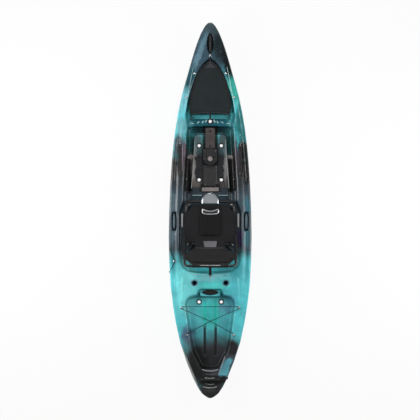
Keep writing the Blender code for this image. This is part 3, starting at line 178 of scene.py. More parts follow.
@dataclass(frozen=True)
class Pigment:
    """One cloud of coloured powder that fused in one place of the mould, or a patch of painted shade or light laid over
    it.
    """

    colour: str
    place: Pair
    reach: Pair
    turn: float = 0.0
    edge: float = 0.45
    strength: float = 1.0
    boxy: bool = False

    def lay(self, tree: Tree, where: Socket, under: Socket) -> Socket:
        """Mixes this pigment over what is already there.

        Args:
            tree: The material's node tree.
            where: The plan position, drifted for a cloud and true for a patch of painted shade or light.
            under: The colour below.

        Returns:
            The mixed colour.
        """
        turn = (0.0, 0.0, math.radians(self.turn))
        shape = {"Location": (*self.place, 0.0), "Rotation": turn, "Scale": (*self.reach, 1.0)}
        local = add_node(tree, "ShaderNodeMapping", {"vector_type": "TEXTURE", **shape}, {"Vector": where})
        if self.boxy:
            ends = add_node(tree, "ShaderNodeVectorMath", {"operation": "ABSOLUTE"}, {0: local})
            parts = add_node(tree, "ShaderNodeSeparateXYZ", {}, {0: ends}).outputs
            away = add_node(tree, "ShaderNodeMath", {"operation": "MAXIMUM"}, {0: parts[0], 1: parts[1]})
        else:
            away = add_node(tree, "ShaderNodeVectorMath", {"operation": "LENGTH"}, {0: local})
        limits = {
            "interpolation_type": "SMOOTHSTEP", 1: 1 + self.edge, 2: 1 - self.edge, 3: 0.0, 4: self.strength
        }
        amount = add_node(tree, "ShaderNodeMapRange", limits, {0: away.outputs["Value"]})
        colours = {"data_type": "RGBA", 7: linear(self.colour)}
        return add_node(tree, "ShaderNodeMix", colours, {0: amount, 6: under}).outputs[2]


@dataclass(frozen=True)
class MarbledPolyethylene:
    """Rotomoulded polyethylene: pigments that ran into each other, a soft gloss, orange peel, and painted shade and
    highlights.
    """

    base: str = "#57C8D0"
    pigments: tuple[Pigment, ...] = (
        # The bow: slate blue at the left, near black at the right
        Pigment("#384F5C", (-0.05, 1.58), (0.26, 0.42)),
        Pigment("#1A2629", (0.085, 1.64), (0.075, 0.26), 14),
        Pigment("#3C4C53", (0.0, 1.80), (0.12, 0.09)),
        Pigment("#66899A", (-0.12, 1.47), (0.035, 0.24), -18, strength=0.8),
        Pigment("#0E1518", (0.185, 1.36), (0.045, 0.22), 18),
        Pigment("#25505A", (-0.205, 1.25), (0.065, 0.17), -15),
        Pigment("#36A89C", (0.240, 1.16), (0.055, 0.12), 12),
        Pigment("#74C2CC", (-0.265, 1.05), (0.06, 0.13), -12),
        Pigment("#2F8688", (0.295, 1.00), (0.035, 0.12), 10),
        Pigment("#26787A", (0.295, 0.84), (0.06, 0.17), 8),
        Pigment("#74BAC2", (-0.285, 0.80), (0.05, 0.09)),
        Pigment("#1F5F6C", (0.0, 0.86), (0.22, 0.12)),
        # Slate beside the seat, under the dark band across the cockpit
        Pigment("#3A4A53", (0.0, -0.04), (0.50, 0.42), 0, 0.25, boxy=True),
        Pigment("#2E3033", (0.0, 0.40), (0.50, 0.22)),
        Pigment("#414C55", (-0.325, 0.64), (0.06, 0.11)),
        Pigment("#0C1516", (0.335, 0.57), (0.065, 0.14)),
        Pigment("#0A0B0C", (0.345, 0.37), (0.06, 0.12)),
        Pigment("#5B4E5A", (-0.255, 0.56), (0.03, 0.14)),
        Pigment("#3A3544", (0.245, 0.56), (0.025, 0.16)),
        Pigment("#242424", (-0.350, 0.40), (0.05, 0.12)),
        Pigment("#454F52", (0.0, 0.60), (0.17, 0.07), strength=0.8),
        Pigment("#5B7074", (-0.13, 0.68), (0.05, 0.07)),
        Pigment("#4A5F62", (0.13, 0.68), (0.05, 0.07)),
        # Painted highlights along the edges of the plateau
        Pigment("#A29E9C", (-0.158, 0.43), (0.026, 0.17), -5, strength=0.85),
        Pigment("#8E8C8C", (0.160, 0.42), (0.024, 0.17), 5, strength=0.8),
        Pigment("#6E675F", (-0.13, 0.27), (0.06, 0.05), strength=0.8),
        Pigment("#55504E", (0.14, 0.26), (0.06, 0.05), strength=0.7),
        # Patches beside the seat, violet at the right
        Pigment("#4C616B", (-0.365, 0.06), (0.035, 0.10)),
        Pigment("#2B6270", (0.350, 0.04), (0.035, 0.09)),
        Pigment("#48626D", (-0.36, -0.24), (0.03, 0.08)),
        Pigment("#3A2F55", (0.285, -0.27), (0.04, 0.09)),
        Pigment("#235C68", (0.365, -0.26), (0.03, 0.10)),
        # Turquoise behind the seat
        Pigment("#80ECEE", (-0.235, -0.76), (0.11, 0.26)),
        Pigment("#58C6D0", (0.26, -0.62), (0.10, 0.16)),
        # A painted highlight along the cockpit's rear rim
        Pigment("#A4E2E6", (0.0, -0.655), (0.15, 0.03), 0, 0.9, 0.55),
        Pigment("#5FE3DD", (0.02, -0.735), (0.15, 0.05), strength=0.8),
        Pigment("#5596AE", (0.16, -0.88), (0.09, 0.06), 10, strength=0.7),
        Pigment("#5AD6DC", (-0.10, -0.93), (0.07, 0.06)),
        Pigment("#7AE0E8", (-0.02, -0.98), (0.20, 0.17), 0, 0.6, 0.6),
        Pigment("#4FDCD6", (0.0, -1.00), (0.10, 0.14)),
        Pigment("#66A0B8", (0.15, -0.955), (0.05, 0.03), -20, strength=0.7),
        # The stern: charcoal at the left, a pale blue patch at the right
        Pigment("#4B6E86", (-0.22, -1.22), (0.07, 0.09), 12),
        Pigment("#43454B", (0.0, -1.46), (0.34, 0.24)),
        Pigment("#070809", (-0.12, -1.49), (0.11, 0.19), 10),
        Pigment("#1B1820", (0.205, -1.35), (0.05, 0.07)),
        Pigment("#2B2B2C", (0.0, -1.74), (0.14, 0.12)),
        Pigment("#68BCCE", (0.146, -1.548), (0.046, 0.112), -27, 0.2),
        Pigment("#101214", (0.110, -1.665), (0.05, 0.045)),
    )
    patches_and_painted_light: tuple[Pigment, ...] = (
        # Painted shade in the deep foot wells, ahead of the cockpit and on the floor round the console, strip and step,
        # and a painted highlight on the bow's ledge
        *(Pigment("#08090A", (s * 0.216, 0.345), (0.030, 0.175), -s * 5, 0.25, boxy=True) for s in (-1, 1)),
        *(Pigment("#0C3F3E", (s * 0.198, 0.640), (0.034, 0.100), -s * 4, 0.35, 0.9, True) for s in (-1, 1)),
        Pigment("#5CC0C4", (0.0, 0.908), (0.185, 0.016), 0, 0.3, 0.75, True),
        Pigment("#0C3A3F", (0.0, 0.775), (0.21, 0.035), 0, 0.5, 0.8, True),
        Pigment("#0B0D0E", (0.0, 0.700), (0.073, 0.125), 0, 0.10, 0.9, True),
        Pigment("#0B0D0E", (0.0, 0.520), (0.080, 0.090), 0, 0.15, 0.85, True),
        Pigment("#101011", (0.0, 0.335), (0.075, 0.105), 0, 0.10, 0.85, True),
        Pigment("#0E0E0F", (0.0, 0.220), (0.100, 0.042), 0, 0.2, 0.8, True),
        # Painted shade in rings round the scuppers
        *(
            Pigment("#0F1416", (s * x, y), (0.028, 0.028), 0, 0.20, 0.9)
            for x, y in ((0.0, 0.866), (0.108, 0.630), (0.108, 0.297), (0.108, -0.892))
            for s in (-1, 1)
        ),
        # The grooves of the tank well's floor: painted highlights ahead of the dark band, and painted shade along them
        # on it
        *(Pigment("#2BE0CE", (s * 0.053, -1.00), (0.012, 0.125), 0, 0.3, 0.8, True) for s in (-1, 1)),
        Pigment("#17181A", (0.0, -1.46), (0.16, 0.13), 0, 0.6, 0.7),
        *(Pigment("#101316", (s * 0.053, -1.27), (0.013, 0.145), 0, 0.25, 0.9, True) for s in (-1, 1)),
        # A painted highlight along the left edge of the stern
        Pigment("#A3A8A8", (-0.188, -1.56), (0.012, 0.25), 22, 0.4, 0.8),
        # Painted shade in the recesses of the carry handles
        Pigment("#0A0D0E", (0.0, 1.626), (0.030, 0.088), 0, 0.2),
        *(Pigment("#0A0D0E", (s * 0.352, -0.107), (0.021, 0.090), 0, 0.12, 0.9, True) for s in (-1, 1)),
        Pigment("#0B0C0D", (0.0, -1.652), (0.105, 0.044), 0, 0.2, 0.9, True),
    )

    def make(self) -> bpy.types.Material:
        """The material."""
        material, tree, shader, place = new_material("marbled rotomoulded polyethylene")
        drifted, flat = self.drift(tree, place), self.flattened(tree, place)
        ground = add_node(tree, "ShaderNodeRGB")
        ground.outputs[0].default_value = linear(self.base)
        colour = ground.outputs[0]
        for pigment in self.pigments:
            colour = pigment.lay(tree, drifted, colour)
        for patch in self.patches_and_painted_light:
            colour = patch.lay(tree, flat, colour)
        # Powder grains that didn't fuse evenly leave a cloudiness some 12 mm across, over veins some 120 mm across
        cloud = add_node(tree, "ShaderNodeTexNoise", {"Scale": 80.0, "Detail": 3.0}, {"Vector": place})
        broad = {"Scale": 8.0, "Detail": 5.0, "Distortion": 0.3}
        veins = add_node(tree, "ShaderNodeTexNoise", broad, {"Vector": place})
        shade = add_node(tree, "ShaderNodeMapRange", {3: 0.94, 4: 1.06}, {0: cloud})
        vein = add_node(tree, "ShaderNodeMapRange", {1: 0.34, 2: 0.66, 3: 0.86, 4: 1.16}, {0: veins})
        both = add_node(tree, "ShaderNodeMath", {"operation": "MULTIPLY"}, {0: shade, 1: vein})
        # The cloudiness and veins, times the painted shade of the steep walls inside the deck
        value = add_node(
            tree, "ShaderNodeMath", {"operation": "MULTIPLY"}, {0: both, 1: self.painted_wall_shade(tree, flat)}
        )
        tint = add_node(tree, "ShaderNodeHueSaturation", {}, {"Color": colour, "Value": value})
        # The mould gives a gloss that varies, but the stern is dragged over ramps and sand, and is matt
        gloss = add_node(tree, "ShaderNodeMapRange", {3: 0.20, 4: 0.33}, {0: cloud})
        along = add_node(tree, "ShaderNodeSeparateXYZ", {}, {0: place}).outputs[1]
        matt = add_node(tree, "ShaderNodeMapRange", {1: -1.10, 2: -1.32, 3: 0.0, 4: 0.30}, {0: along})
        rough = add_node(tree, "ShaderNodeMath", {"operation": "ADD"}, {0: gloss, 1: matt})
        # The orange peel is some 5 mm across
        peel = add_node(tree, "ShaderNodeTexNoise", {"Scale": 190.0, "Detail": 2.0}, {"Vector": place})
        bump = add_node(tree, "ShaderNodeBump", {"Strength": 0.25, "Distance": 0.0004}, {"Height": peel})
        dress(tree, shader, Base_Color=tint, Roughness=rough, Normal=bump)
        dress(tree, shader, IOR=1.51, Specular_IOR_Level=0.3, Coat_Weight=0.10, Coat_Roughness=0.10)
        return material

    def painted_wall_shade(self, tree: Tree, flat: Node) -> Node:
        """How bright the skin is: steep walls inside the deck get painted shade, and the outside is left as it is.

        Args:
            tree: The material's node tree.
            flat: The plan position.

        Returns:
            The node of a factor from 0.56 on a steep wall to 1 on the level.
        """
        normal = add_node(tree, "ShaderNodeTexCoord").outputs["Normal"]
        slope = add_node(tree, "ShaderNodeSeparateXYZ", {}, {0: normal}).outputs[2]
        steep = add_node(tree, "ShaderNodeMapRange", {1: 0.72, 2: 0.30, 3: 0.0, 4: 0.44}, {0: slope})
        inside = {"vector_type": "TEXTURE", "Location": (0.0, -0.05, 0.0), "Scale": (0.325, 1.68, 1.0)}
        local = add_node(tree, "ShaderNodeMapping", inside, {"Vector": flat})
        away = add_node(tree, "ShaderNodeVectorMath", {"operation": "LENGTH"}, {0: local}).outputs["Value"]
        near = add_node(tree, "ShaderNodeMapRange", {1: 1.05, 2: 0.97}, {0: away})
        amount = add_node(tree, "ShaderNodeMath", {"operation": "MULTIPLY"}, {0: steep, 1: near})
        return add_node(tree, "ShaderNodeMath", {"operation": "SUBTRACT", 0: 1.0}, {1: amount})

    def drift(self, tree: Tree, place: Socket) -> Node:
        """Moves the plan position by two noises, so that the pigments' edges run and swirl.

        Args:
            tree: The material's node tree.
            place: Object coordinates.

        Returns:
            The node of the drifted position, with no height.
        """
        where = place
        for scale, reach in ((5.0, 0.12), (22.0, 0.045)):
            noise = add_node(tree, "ShaderNodeTexNoise", {"Scale": scale, "Detail": 3.0}, {"Vector": place})
            middle = {"operation": "SUBTRACT", 1: (0.5, 0.5, 0.5)}
            centred = add_node(tree, "ShaderNodeVectorMath", middle, {0: noise.outputs["Color"]})
            moved = add_node(
                tree, "ShaderNodeVectorMath", {"operation": "SCALE", "Scale": reach}, {0: centred}
            )
            where = add_node(tree, "ShaderNodeVectorMath", {"operation": "ADD"}, {0: where, 1: moved})
        return self.flattened(tree, where)

    def flattened(self, tree: Tree, place: Node | Socket) -> Node:
        """The node of a position with its height taken away."""
        level = {"operation": "MULTIPLY", 1: (1.0, 1.0, 0.0)}
        return add_node(tree, "ShaderNodeVectorMath", level, {0: place})


@dataclass(frozen=True)
class MouldedPlastic:
    """Injection-moulded nylon or ABS: even colour, a fine spark-eroded grain, and pale scuffs on it."""

    name: str = "black moulded nylon"
    colour: str = "#1B1C1E"
    scuff: str = "#3A3B3D"
    roughness: float = 0.42
    grain_mm: float = 1.4

    def make(self) -> bpy.types.Material:
        """The material."""
        material, tree, shader, place = new_material(self.name)
        # Scuffs come in patches some 30 mm across
        patchy = {"Scale": 33.0, "Detail": 6.0, "Roughness": 0.7}
        wear = add_node(tree, "ShaderNodeTexNoise", patchy, {"Vector": place})
        patch = add_node(tree, "ShaderNodeMapRange", {1: 0.52, 2: 0.78, 3: 0.0, 4: 0.7}, {0: wear})
        colours = {"data_type": "RGBA", 6: linear(self.colour), 7: linear(self.scuff)}
        mix = add_node(tree, "ShaderNodeMix", colours, {0: patch})
        spread = {3: self.roughness - 0.06, 4: self.roughness + 0.14}
        gloss = add_node(tree, "ShaderNodeMapRange", spread, {0: wear})
        grain = add_node(tree, "ShaderNodeTexNoise", {"Scale": 1000 / self.grain_mm}, {"Vector": place})
        bump = add_node(tree, "ShaderNodeBump", {"Strength": 0.35, "Distance": 0.0002}, {"Height": grain})
        dress(tree, shader, Base_Color=mix.outputs[2], Roughness=gloss, Normal=bump, IOR=1.53)
        return material


@dataclass(frozen=True)
class Metal:
    """A bare or anodised metal, drawn or brushed along one axis."""

    name: str
    colour: str
    roughness: float
    brushed: Point = (60.0, 60.0, 60.0)

    def make(self) -> bpy.types.Material:
        """The material."""
        material, tree, shader, place = new_material(self.name)
        # Brush lines half a millimetre apart are too fine to show, so they are drawn some 3 mm apart
        along = add_node(tree, "ShaderNodeMapping", {"Scale": self.brushed}, {"Vector": place})
        lines = add_node(tree, "ShaderNodeTexNoise", {"Scale": 5.0, "Detail": 5.0}, {"Vector": along})
        shade = add_node(tree, "ShaderNodeMapRange", {3: 0.82, 4: 1.12}, {0: lines})
        tint = add_node(tree, "ShaderNodeHueSaturation", {"Color": linear(self.colour)}, {"Value": shade})
        spread = {3: self.roughness - 0.05, 4: self.roughness + 0.12}
        gloss = add_node(tree, "ShaderNodeMapRange", spread, {0: lines})
        dress(tree, shader, Base_Color=tint, Roughness=gloss, Metallic=1.0)
        return material


@dataclass(frozen=True)
class PowderCoat:
    """Black powder coat on tube: satin, with a fine pimple where the powder melted."""

    colour: str = "#17181A"

    def make(self) -> bpy.types.Material:
        """The material."""
        material, tree, shader, place = new_material("black powder coat")
        # The pimple of a powder coat is about 1 mm across
        pimple = add_node(tree, "ShaderNodeTexVoronoi", {"Scale": 900.0}, {"Vector": place})
        bump = add_node(tree, "ShaderNodeBump", {"Strength": 0.2, "Distance": 0.0002}, {"Height": pimple})
        gloss = add_node(tree, "ShaderNodeMapRange", {3: 0.28, 4: 0.40}, {0: pimple})
        dress(tree, shader, Base_Color=linear(self.colour), Roughness=gloss, Normal=bump)
        return material


@dataclass(frozen=True)
class Weave:
    """Woven cloth or webbing: threads over and under each other, with sheen and faded patches."""

    name: str
    colour: str
    gap: str
    pitch_mm: float = 3.0
    depth: float = 0.0006
    fade: float = 0.35

    def make(self) -> bpy.types.Material:
        """The material."""
        material, tree, shader, place = new_material(self.name)
        # A wave's period is a pi-th of a twentieth of its scale's inverse, so 314 / mm gives the thread pitch
        thread = {"Scale": 314.0 / self.pitch_mm}
        warp = add_node(tree, "ShaderNodeTexWave", {"bands_direction": "X", **thread}, {"Vector": place})
        weft = add_node(tree, "ShaderNodeTexWave", {"bands_direction": "Y", **thread}, {"Vector": place})
        links = {0: warp.outputs[1], 1: weft.outputs[1]}
        over = add_node(tree, "ShaderNodeMath", {"operation": "MAXIMUM"}, links)
        fade = add_node(tree, "ShaderNodeTexNoise", {"Scale": 9.0, "Detail": 4.0}, {"Vector": place})
        worn = add_node(tree, "ShaderNodeMapRange", {1: 0.35, 2: 0.75, 3: 1.0, 4: 1.0 + self.fade}, {0: fade})
        colours = {"data_type": "RGBA", 6: linear(self.gap), 7: linear(self.colour)}
        mix = add_node(tree, "ShaderNodeMix", colours, {0: over}).outputs[2]
        tint = add_node(tree, "ShaderNodeHueSaturation", {}, {"Color": mix, "Value": worn})
        bump = add_node(tree, "ShaderNodeBump", {"Strength": 0.6, "Distance": self.depth}, {"Height": over})
        dress(tree, shader, Base_Color=tint, Roughness=0.72, Normal=bump)
        dress(tree, shader, Specular_IOR_Level=0.25, Sheen_Weight=0.06, Sheen_Roughness=0.5)
        return material


@dataclass(frozen=True)
class Foam:
    """Closed-cell foam: pale, with cells that catch the light."""

    colour: str = "#E2E2DC"

    def make(self) -> bpy.types.Material:
        """The material."""
        material, tree, shader, place = new_material("closed-cell foam")
        cells = add_node(tree, "ShaderNodeTexVoronoi", {"Scale": 400.0}, {"Vector": place})
        bump = add_node(tree, "ShaderNodeBump", {"Strength": 0.5, "Distance": 0.0006}, {"Height": cells})
        dress(tree, shader, Base_Color=linear(self.colour), Roughness=0.85, Normal=bump)
        return material


class Finish(Enum):
    """Every finish of the boat with its material slot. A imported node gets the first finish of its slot."""

    HULL = ("polyethylene", MarbledPolyethylene())
    NYLON = ("black_nylon", MouldedPlastic())
    RUBBER = ("black_rubber", MouldedPlastic("black rubber", "#141415", "#2A2A2B", 0.62, 2.0))
    GREY = ("grey_plastic", MouldedPlastic("grey moulded plastic", "#463F3E", "#625A59", 0.38, 1.6))
    MESH = ("mesh_cloth", Weave("coated mesh cloth", "#18171A", "#070708", 3.4))
    WEBBING = ("webbing", Weave("polypropylene webbing", "#1C2022", "#0A0B0C", 2.2))
    ELASTIC = ("bungee", Weave("braided elastic cord", "#1E2224", "#08090A", 2.0))
    STEEL = ("stainless", Metal("stainless steel", "#D6D7D8", 0.22, (20.0, 60.0, 60.0)))
    RAIL = ("aluminium", Metal("anodised aluminium", "#575354", 0.34, (70.0, 8.0, 70.0)))
    COAT = ("coated_tube", PowderCoat())
    FOAM = ("foam", Foam())
    PALE = ("grey_plastic", MouldedPlastic("pale grey moulded plastic", "#88807F", "#A8A09F", 0.34, 1.6))
    DARK = ("grey_plastic", MouldedPlastic("dark grey ribbed rubber", "#252323", "#3C3938", 0.45, 1.6))
    TONGUE = ("grey_plastic", MouldedPlastic("light grey moulded plastic", "#8A9094", "#A0A5A8", 0.32, 1.6))
    # Pale and grey painted highlights, laid on the beads of the hull
    WORN = ("polyethylene", MouldedPlastic("scuffed pale polyethylene", "#A9CDD0", "#E2EEEE", 0.30, 1.6))
    WORN_DARK = ("polyethylene", MouldedPlastic("scuffed grey polyethylene", "#A2A8AA", "#D2D6D7", 0.30, 1.6))
    LINER = ("black_nylon", MouldedPlastic("slate tube liner", "#6C95A6", "#86ABBA", 0.45, 2.0))
    SLEEVE = ("black_rubber", MouldedPlastic("slate soft grip", "#415A65", "#587581", 0.50, 2.0))
    COVER = ("mesh_cloth", Weave("open mesh cover cloth", "#1B2426", "#070B0C", 3.4, fade=0.5))
    PANEL = ("mesh_cloth", Weave("plain weave cover panel", "#36393B", "#1E2022", 1.8))
    PAD = ("mesh_cloth", Weave("padded seat cloth", "#0A090B", "#030303", 2.6, fade=0.25))
    RIBS = ("mesh_cloth", Weave("reflective ribbed patch", "#77767A", "#454448", 1.8))
    SILVER = ("stainless", Metal("brushed bright aluminium", "#E4E5E8", 0.44, (40.0, 14.0, 40.0)))

    @property
    def slot(self) -> str:
        """Its material slot."""
        return self.value[0]

    @cached_property
    def material(self) -> bpy.types.Material:
        """Its material, made when first asked for."""
        return self.value[1].make()


# Modelling by hand


def new_object(name: str, data: bpy.types.ID) -> Obj:
    """An object of some data, linked to the scene."""
    made = bpy.data.objects.new(name, data)
    bpy.context.scene.collection.objects.link(made)
    return made


def alone(obj: Obj) -> Obj:
    """Selects one object only, makes it active and returns it.

    Args:
        obj: The object.

    Returns:
        The same object.
    """
    bpy.ops.object.select_all(action="DESELECT")
    obj.select_set(True)
    bpy.context.view_layer.objects.active = obj
    return obj


def editing(obj: Obj, work: Callable[[], None]) -> Obj:
    """Does some work on an object in edit mode, and returns the object.

    Args:
        obj: The object to edit.
        work: What to do there.

    Returns:
        The same object.
    """
    alone(obj)
    bpy.ops.object.mode_set(mode="EDIT")
    work()
    bpy.ops.object.mode_set(mode="OBJECT")
    return obj


def modified(obj: Obj, kind: str, **settings: object) -> Obj:
    """Adds a modifier of some kind with some settings, applies it, and returns the object.

    Args:
        obj: The object.
        kind: Blender's name of the modifier.
        settings: The modifier's settings.

    Returns:
        The same object.
    """
    alone(obj)
    modifier = obj.modifiers.new(kind.lower(), kind)
    for key, value in settings.items():
        setattr(modifier, key, value)
    bpy.ops.object.modifier_apply(modifier=modifier.name)
    return obj


def bevelled(obj: Obj, width: float, segments: int = 2, degrees: float = 50) -> Obj:
    """Bevels the edges sharper than an angle."""
    limits = {"limit_method": "ANGLE", "angle_limit": math.radians(degrees)}
    return modified(obj, "BEVEL", width=width, segments=segments, **limits)


def thickened(obj: Obj, thickness: float, offset: float = 0.0) -> Obj:
    """Gives a sheet its thickness."""
    return modified(obj, "SOLIDIFY", thickness=thickness, offset=offset)


def cut_out(obj: Obj, cutter: Obj, **more: bool) -> Obj:
    """Cuts one object out of another, and removes the cutter.

    Args:
        obj: The object to cut.
        cutter: What is cut out of it.
        more: More settings of the cut.

    Returns:
        The first object.
    """
    modified(obj, "BOOLEAN", object=cutter, operation="DIFFERENCE", solver="EXACT", **more)
    bpy.data.objects.remove(cutter)
    return obj


def placed(obj: Obj) -> Obj:
    """Puts an object's place, turn and size into its mesh."""
    alone(obj)
    bpy.ops.object.transform_apply(location=True, rotation=True, scale=True)
    return obj


def smooth(obj: Obj, degrees: float = 35) -> Obj:
    """Shades an object smooth, apart from edges sharper than an angle."""
    alone(obj)
    bpy.ops.object.shade_smooth_by_angle(angle=math.radians(degrees))
    return obj


def joined(objects: Sequence[Obj]) -> Obj:
    """Joins objects into the first of them."""
    alone(objects[0])
    for obj in objects:
        obj.select_set(True)
    if len(objects) > 1:
        bpy.ops.object.join()
    return objects[0]


def finished(
    obj: Obj | Sequence[Obj],
    name: str,
    finish: Finish,
    *nodes: str,
    body: str = "hull",
    angle: float = 0.0,
    slot: str | None = "",
) -> Obj:
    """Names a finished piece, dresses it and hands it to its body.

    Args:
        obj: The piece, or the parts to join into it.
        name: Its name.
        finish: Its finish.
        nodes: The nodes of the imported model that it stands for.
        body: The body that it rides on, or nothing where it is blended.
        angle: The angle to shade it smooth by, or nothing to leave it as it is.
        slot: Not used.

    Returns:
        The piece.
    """
    made = obj if isinstance(obj, Obj) else joined(obj)
    if angle:
        smooth(made, angle)
    made.name = made.data.name = name
    made.data.materials.clear()
    made.data.materials.append(finish.material)
    if body:
        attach(made, body)
    if nodes:
        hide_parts(*nodes)
    log.info("%s rides on %s", name, body or "two bodies")
    return made if slot is None else made


def block(low: Path, high: Path, bevel: float = 0.0, segments: int = 3) -> Obj:
    """A cube stretched between two corners, its edges bevelled.

    Args:
        low: One corner.
        high: The corner across from it.
        bevel: The edges' width.
        segments: The edges' steps.

    Returns:
        The block.
    """
    middle = [(a + b) / 2 for a, b in zip(low, high)]
    size = [abs(b - a) for a, b in zip(low, high)]
    bpy.ops.mesh.primitive_cube_add(size=1, location=middle, scale=size)
    made = placed(bpy.context.object)
    return bevelled(made, bevel, segments, 30) if bevel else made


def bars(
    places: Plan, half: Pair, foot: float, top: float, bevel: float = 0.0, segments: int = 1
) -> list[Obj]:
    """Blocks of one size.

    Args:
        places: The middle of each in plan.
        half: Half their size in plan.
        foot: Their underside's height.
        top: Their top's height.
        bevel: Their edges' width.
        segments: Their edges' steps.

    Returns:
        The blocks.
    """
    wide, long = half
    return [block((x - wide, y - long, foot), (x + wide, y + long, top), bevel, segments) for x, y in places]


def rod(start: Path, end: Path, radius: float, sides: int = 24, bevel: float = 0.0) -> Obj:
    """A cylinder between two points, its rims bevelled.

    Args:
        start: The middle of one end.
        end: The middle of the other end.
        radius: Its radius.
        sides: How many sides it has.
        bevel: The width of its rims' bevel.

    Returns:
        The rod.
    """
    start, end = Vector(start), Vector(end)
    along = end - start
    shape = {"vertices": sides, "radius": radius, "depth": along.length}
    turn = along.to_track_quat("Z", "Y").to_euler()
    bpy.ops.mesh.primitive_cylinder_add(**shape, location=(start + end) / 2, rotation=turn)
    made = placed(bpy.context.object)
    return bevelled(made, bevel, 3) if bevel else made


def new_curve(points: Path, cyclic: bool, **settings: object) -> Obj:
    """An object of a curve with straight stretches through points, with some settings.

    Args:
        points: The points.
        cyclic: Whether it closes.
        settings: The curve's settings.

    Returns:
        The curve's object.
    """
    curve = bpy.data.curves.new("curve", "CURVE")
    for key, value in settings.items():
        setattr(curve, key, value)
    spline = curve.splines.new("POLY")
    spline.points.add(len(points) - 1)
    for point, place in zip(spline.points, points):
        point.co = (*place, 1.0)
    spline.use_cyclic_u = cyclic
    return new_object("curve", curve)


def line(points: Path, radius: float, cyclic: bool = False, steps: int = 3) -> Obj:
    """A round line along points, as a curve. Its steps are half its sides' count, less one."""
    shape = {"bevel_depth": radius, "bevel_resolution": steps, "use_fill_caps": not cyclic}
    return new_curve(points, cyclic, dimensions="3D", **shape)


def to_mesh(obj: Obj) -> Obj:
    """Turns a curve into a mesh."""
    alone(obj)
    bpy.ops.object.convert(target="MESH")
    return bpy.context.object


def bead(points: Path, radius: float, cyclic: bool = False, steps: int = 3) -> Obj:
    """A round line along points, as a mesh."""
    return to_mesh(line(points, radius, cyclic, steps))


def swept(path: Path, radii: Sequence[float] | float, cyclic: bool = False, steps: int = 4) -> Obj:
    """A round bar along a path, its thickness the same all along or given at each point.

    Args:
        path: The points that it follows.
        radii: Its radius, or one for each point.
        cyclic: Whether it closes.
        steps: Half its sides' count, less one.

    Returns:
        The bar, as a mesh.
    """
    drawn = line(path, 1.0, cyclic, steps)
    each = [radii] * len(path) if isinstance(radii, float) else radii
    for point, radius in zip(drawn.data.splines[0].points, each):
        point.radius = radius
    return editing(to_mesh(drawn), tidy_faces)


def plate(outline: Plan, low: float, high: float, edge: float = 0.0, steps: int = 2) -> Obj:
    """A flat plate over a plan outline, cut like a drawn curve and given its thickness, with rounded edges.

    Args:
        outline: The plan's points.
        low: The underside's height.
        high: The top's height.
        edge: The radius of the rounded edges.
        steps: The rounded edges' steps.

    Returns:
        The plate.
    """
    shape = {"dimensions": "2D", "fill_mode": "BOTH", "extrude": (high - low) / 2 - edge}
    rim = {"bevel_depth": edge, "bevel_resolution": steps, "offset": -edge}
    made = new_curve([(x, y, 0.0) for x, y in outline], True, **shape, **rim)
    made.location.z = (low + high) / 2
    return editing(placed(to_mesh(made)), tidy_faces)


def tidy_faces() -> None:
    """Merges doubles and points the faces outwards, in edit mode."""
    bpy.ops.mesh.select_all(action="SELECT")
    bpy.ops.mesh.remove_doubles(threshold=0.00001)
    bpy.ops.mesh.normals_make_consistent(inside=False)


def node_copy(node: str) -> Obj:
    """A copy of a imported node's mesh, its loose triangles merged."""
    copy = new_object(node + "_copy", frame["nodes"][node].data.copy())
    copy.data.materials.clear()

    def merge() -> None:
        """Merges the corners that triangles share."""
        bpy.ops.mesh.select_all(action="SELECT")
        bpy.ops.mesh.remove_doubles(threshold=0.00002)

    return editing(copy, merge)


def arc(centre: Pair, radius: float, start: float, end: float, steps: int) -> list[Pair]:
    """Points of a plan arc, its angles in degrees."""
    angles = [math.radians(start + (end - start) * i / steps) for i in range(steps + 1)]
    return [(centre[0] + radius * math.cos(a), centre[1] + radius * math.sin(a)) for a in angles]


def rounded_box(x: float, y: float, width: float, length: float, radius: float, steps: int = 5) -> list[Pair]:
    """A rectangle's plan outline with round corners, counter-clockwise from its far right one."""
    points: list[Pair] = []
    for i, (sx, sy) in enumerate(((1, 1), (-1, 1), (-1, -1), (1, -1))):
        centre = (x + sx * (width / 2 - radius), y + sy * (length / 2 - radius))
        points += arc(centre, radius, 90 * i, 90 * i + 90, steps)
    return points


def oval(x: float, y: float, width: float, length: float, steps: int = 32) -> list[Pair]:
    """An oval's plan outline."""
    turns = [2 * math.pi * i / steps for i in range(steps)]
    return [(x + width / 2 * math.cos(a), y + length / 2 * math.sin(a)) for a in turns]


def spaced(count: int, gap: float) -> list[float]:
    """Offsets at equal gaps, their middle at nought."""
    return [(i - (count - 1) / 2) * gap for i in range(count)]


def raised(plan: Plan, height: float = 0.0) -> list[Vector]:
    """The points of a plan at a height."""
    return [Vector((x, y, height)) for x, y in plan]


def flowing(points: Path, steps: int = 6) -> list[Vector]:
    """Points of a smooth curve through some points, ends included, with some steps for each stretch.

    Args:
        points: The points to go through.
        steps: New points for each stretch.

    Returns:
        The curve's points.
    """
    given = [Vector(p) for p in points]
    ends = [2 * given[0] - given[1], *given, 2 * given[-1] - given[-2]]
    made: list[Vector] = []
    for a, b, c, d in zip(ends, ends[1:], ends[2:], ends[3:]):
        for t in (i / steps for i in range(steps)):
            curved = (2 * a - 5 * b + 4 * c - d) * t * t + (3 * b - a - 3 * c + d) * t**3
            made.append(0.5 * (2 * b + (c - a) * t + curved))
    return [*made, given[-1]]


